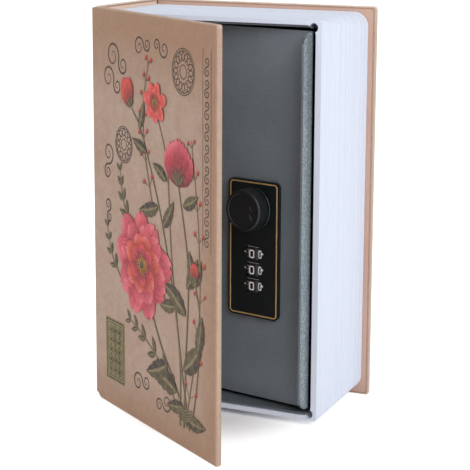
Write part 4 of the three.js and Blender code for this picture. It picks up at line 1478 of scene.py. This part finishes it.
def stem(leafy, knots, thick, count=36):
    path = through(knots, count)
    widths = [thick * (spray["foot"] - spray["stemTaper"] * step / count) for step in range(count + 1)]
    stroke(leafy, path, widths, design["sage"], design["umber"])
    return path


def sprig(leafy, petals, knots, pairs, reach, berries):
    # a thin stem with leaves in pairs, or with a berry on a stalk at each side
    path, uneven = stem(leafy, knots, spray["sprigWidth"]), spray["sprigUneven"]
    for k in range(1, pairs + 1):
        index = (len(path) - 2) * k // pairs
        spot, ahead = path[index], path[index + 1] - path[index]
        heading = math.degrees(math.atan2(ahead.y, ahead.x))
        size = reach * (spray["foot"] - spray["sprigTaper"] * k / pairs)
        for side in (1, -1):
            turn = heading + spray["sprigTurn"] * side + dice.uniform(-uneven, uneven)
            if berries:
                out = toward(math.radians(turn)) * size
                stalk = [spot, spot + out * 0.5, spot + out]
                stroke(leafy, stalk, spray["stalkWidth"], design["sage"], design["umber"])
                dot(petals, spot + out, dice.uniform(*spray["berry"]), 12, design["coral"], design["crimson"])
            else:
                leaf(leafy, spot, turn, size, size * spray["sprigSlim"], spray["sprigBend"] * side)


def openBloom(petals, bloom):
    # rings of petals round an eye; the far ones are laid first
    centre, radius, squash = Vector(bloom["centre"]), bloom["radius"], bloom["squash"]

    def squashed(turn):
        return Vector((math.cos(turn), math.sin(turn) * squash))

    for count, reach, width, start, shades in bloom["rings"]:
        turns = [start + 360 * k / count for k in range(count)]
        for even in sorted(turns, key=lambda turn: -math.sin(math.radians(turn))):
            turn = even + dice.uniform(-openForm["turn"], openForm["turn"])
            length = radius * reach * dice.uniform(*openForm["length"])
            base = centre + squashed(math.radians(turn)) * radius * openForm["foot"]
            fold = 1 - (1 - squash) * abs(math.sin(math.radians(turn)))
            wide = radius * width * (1 - openForm["narrowing"] * (1 - fold))
            bend = dice.uniform(-openForm["bend"], openForm["bend"])
            petal(petals, base, turn, length * fold, wide, bend, shades)
    eye, count = bloom["eye"], bloom["stamens"]
    for k in range(count):
        turn = 2 * math.pi * k / count + dice.uniform(-openForm["stamenTurn"], openForm["stamenTurn"])
        tip = centre + squashed(turn) * (eye * dice.uniform(*openForm["stamenLength"]))
        path = [centre.lerp(tip, step / 4) for step in range(5)]
        stroke(petals, path, openForm["stamenWidth"], design["ochre"])
        dot(petals, tip, openForm["stamenTip"], 8, design["umber"], design["ochre"])
    dot(petals, centre, eye * openForm["eyeShare"], 14, design["olive"], design["umber"])


def sideBloom(petals, leafy, bloom):
    # a cup of petals seen from the side, with sepals over its foot
    foot, heading, length = bloom["foot"], bloom["heading"], bloom["length"]
    fan, count = bloom["fan"], bloom["petals"]
    turns = sorted((fan * (2 * k / (count - 1) - 1) for k in range(count)), key=lambda turn: -abs(turn))
    for turn in turns:
        reach = length * (1 - sideForm["shortening"] * abs(turn) / fan) * dice.uniform(*sideForm["length"])
        wide, bend = length * sideForm["width"], -turn * sideForm["bend"]
        petal(petals, foot, heading + turn, reach, wide, bend, bloom["shades"])
    for turn in sideForm["sepals"]:
        reach, wide = length * sideForm["sepalLength"], length * sideForm["sepalWidth"]
        leaf(leafy, foot, heading + turn, reach, wide, -turn * sideForm["sepalBend"])


def printSpray(leafy, petals):
    for knots, thick in spray["stems"]:
        stem(leafy, knots, thick)
    for form in spray["sprigs"]:
        sprig(leafy, petals, *form)
    for form in spray["leaves"]:
        leaf(leafy, *form)
    tie = spray["tie"]
    for turn in range(tie["turns"]):
        path = through([(x, z + tie["rise"] * turn) for x, z in tie["knots"]], tie["steps"])
        stroke(leafy, path, tapered(tie["steps"], *tie["widths"]), design["sage"], design["umber"])
    for bloom in blooms:
        if "rings" in bloom:
            openBloom(petals, bloom)
        else:
            sideBloom(petals, leafy, bloom)


def printPiece(name, ink, material):
    points = [placed(coverPlace, x, -case["jointRadius"] - rise, z) for x, z, rise in ink["points"]]
    onSheet = [((frontStart + x) * mm, z * mm) for x, z, _ in ink["points"]]
    uvs = [onSheet[point] for face in ink["faces"] for point in face]
    piece = makePiece(name, points, ink["faces"], material, {"sheet": uvs})
    write(piece, "ink", "FLOAT_COLOR", "color", ink["shades"])
    write(piece, "vein", "FLOAT_VECTOR", "vector", ink["veins"])
    return dress(piece, "front_cover", "cover_board")


lines, tileInk, leafy, petals = newInk(), newInk(), newInk(), newInk()
printBorder(lines, tileInk)
printSpray(leafy, petals)
printPiece("print_lines", lines, lineInk)
printPiece("print_tile", tileInk, lineInk)
printPiece("print_leaves", leafy, leafInk)
printPiece("print_petals", petals, petalInk)
print("cover printed,", printed["shapes"], "shapes")


# Floor, light and camera, in metres
studio = {
    "floorReach": 30.0, "floorTones": (colour(244, 245, 246), colour(247, 247, 248)),
    "floorNoise": (6.0, 2.0, 0.5), "floorRough": 0.9, "floorGloss": 0.1,
    # the floor's glow for the camera is dimmed round this spot beside the object's foot: a painted shadow
    # that deepens the one the lamps cast
    "paintedShadowCentre": (0.06, -0.03, 0.0), "glowScale": 2.0,
    "glowSteps": ((0.024, 0.06), (0.05, 0.2), (0.075, 0.42), (0.13, 0.6), (0.7, 0.8)),
    "worldStrength": 0.54,
    "lamps": {   # place, size, power
        "key_softbox": ((0.8, -0.56, 0.62), 0.6, 6.0),
        "top_softbox": ((-0.15, 0.25, 1.15), 0.7, 1.8),
        "fill_softbox": ((-0.6, -1.0, 0.45), 0.8, 3.4),
    },
    "target": (0.05, -0.01, 0.09),
}
view = {
    "place": (0.375673, -0.66797, 0.234088),
    "tilt": 78.4124, "roll": -0.1626, "turn": 26.1252,
    "sensor": 36.0, "lens": 127.001,
    "shiftX": 0.0305, "shiftY": -0.0282,
}


def floorPiece():
    # the camera sees the floor brighten away from the object, and its glow is dimmed near the object's foot
    # as a painted shadow; its light on the object stays plain
    look = Look("pale_floor")
    coords = look.objectCoords()
    path = look.add("LightPath")
    seen = look.maths("MAXIMUM", path.outputs["Is Camera Ray"], path.outputs["Is Glossy Ray"])
    seen = look.maths("MAXIMUM", seen, path.outputs["Is Transmission Ray"])
    away = look.add("VectorMath", {0: coords, 1: studio["paintedShadowCentre"]}, operation="DISTANCE").outputs["Value"]
    glowDimmedForShadow = look.ramp(look.maths("MULTIPLY", away, studio["glowScale"]), *studio["glowSteps"])
    look.set(
        Base_Color=look.drifting(look.noise(coords, *studio["floorNoise"]), *studio["floorTones"]),
        Roughness=studio["floorRough"],
        Specular_IOR_Level=studio["floorGloss"],
        Emission_Color=(1, 1, 1, 1),
        Emission_Strength=look.maths("MULTIPLY", seen, glowDimmedForShadow),
    )
    reach = studio["floorReach"]
    corners = [(-reach, -reach, 0), (reach, -reach, 0), (reach, reach, 0), (-reach, reach, 0)]
    makePiece("floor", corners, [(0, 1, 2, 3)], look.material)


def studioWorld():
    # white for the camera and through glass, softer as light
    world = bpy.data.worlds.new("studio")
    bpy.context.scene.world = world
    world.use_nodes = True
    tree = world.node_tree
    background = next(node for node in tree.nodes if node.type == "BACKGROUND")
    path = tree.nodes.new("ShaderNodeLightPath")
    seen = tree.nodes.new("ShaderNodeMath")
    seen.operation = "MAXIMUM"
    tree.links.new(path.outputs["Is Camera Ray"], seen.inputs[0])
    tree.links.new(path.outputs["Is Transmission Ray"], seen.inputs[1])
    strength = tree.nodes.new("ShaderNodeMapRange")
    tree.links.new(seen.outputs[0], strength.inputs["Value"])
    strength.inputs["To Min"].default_value = studio["worldStrength"]
    strength.inputs["To Max"].default_value = 1.0
    tree.links.new(strength.outputs["Result"], background.inputs["Strength"])
    background.inputs["Color"].default_value = (1, 1, 1, 1)


def areaLamp(name, place, size, power):
    lamp = bpy.data.lights.new(name, "AREA")
    lamp.shape, lamp.size, lamp.energy = "SQUARE", size, power
    holder = bpy.data.objects.new(name, lamp)
    holder.location = place
    holder.rotation_euler = (Vector(studio["target"]) - Vector(place)).to_track_quat("-Z", "Y").to_euler()
    bpy.context.scene.collection.objects.link(holder)


def photoCamera():
    lens = bpy.data.cameras.new("camera")
    lens.sensor_width = view["sensor"]
    lens.lens = view["lens"]
    lens.shift_x, lens.shift_y = view["shiftX"], view["shiftY"]
    holder = bpy.data.objects.new("camera", lens)
    holder.location = view["place"]
    holder.rotation_euler = [math.radians(view[name]) for name in ("tilt", "roll", "turn")]
    bpy.context.scene.collection.objects.link(holder)
    bpy.context.scene.camera = holder


floorPiece()
studioWorld()
for name, (place, size, power) in studio["lamps"].items():
    areaLamp(name, place, size, power)
photoCamera()
bpy.context.scene.view_settings.view_transform = "Standard"
print("studio set")
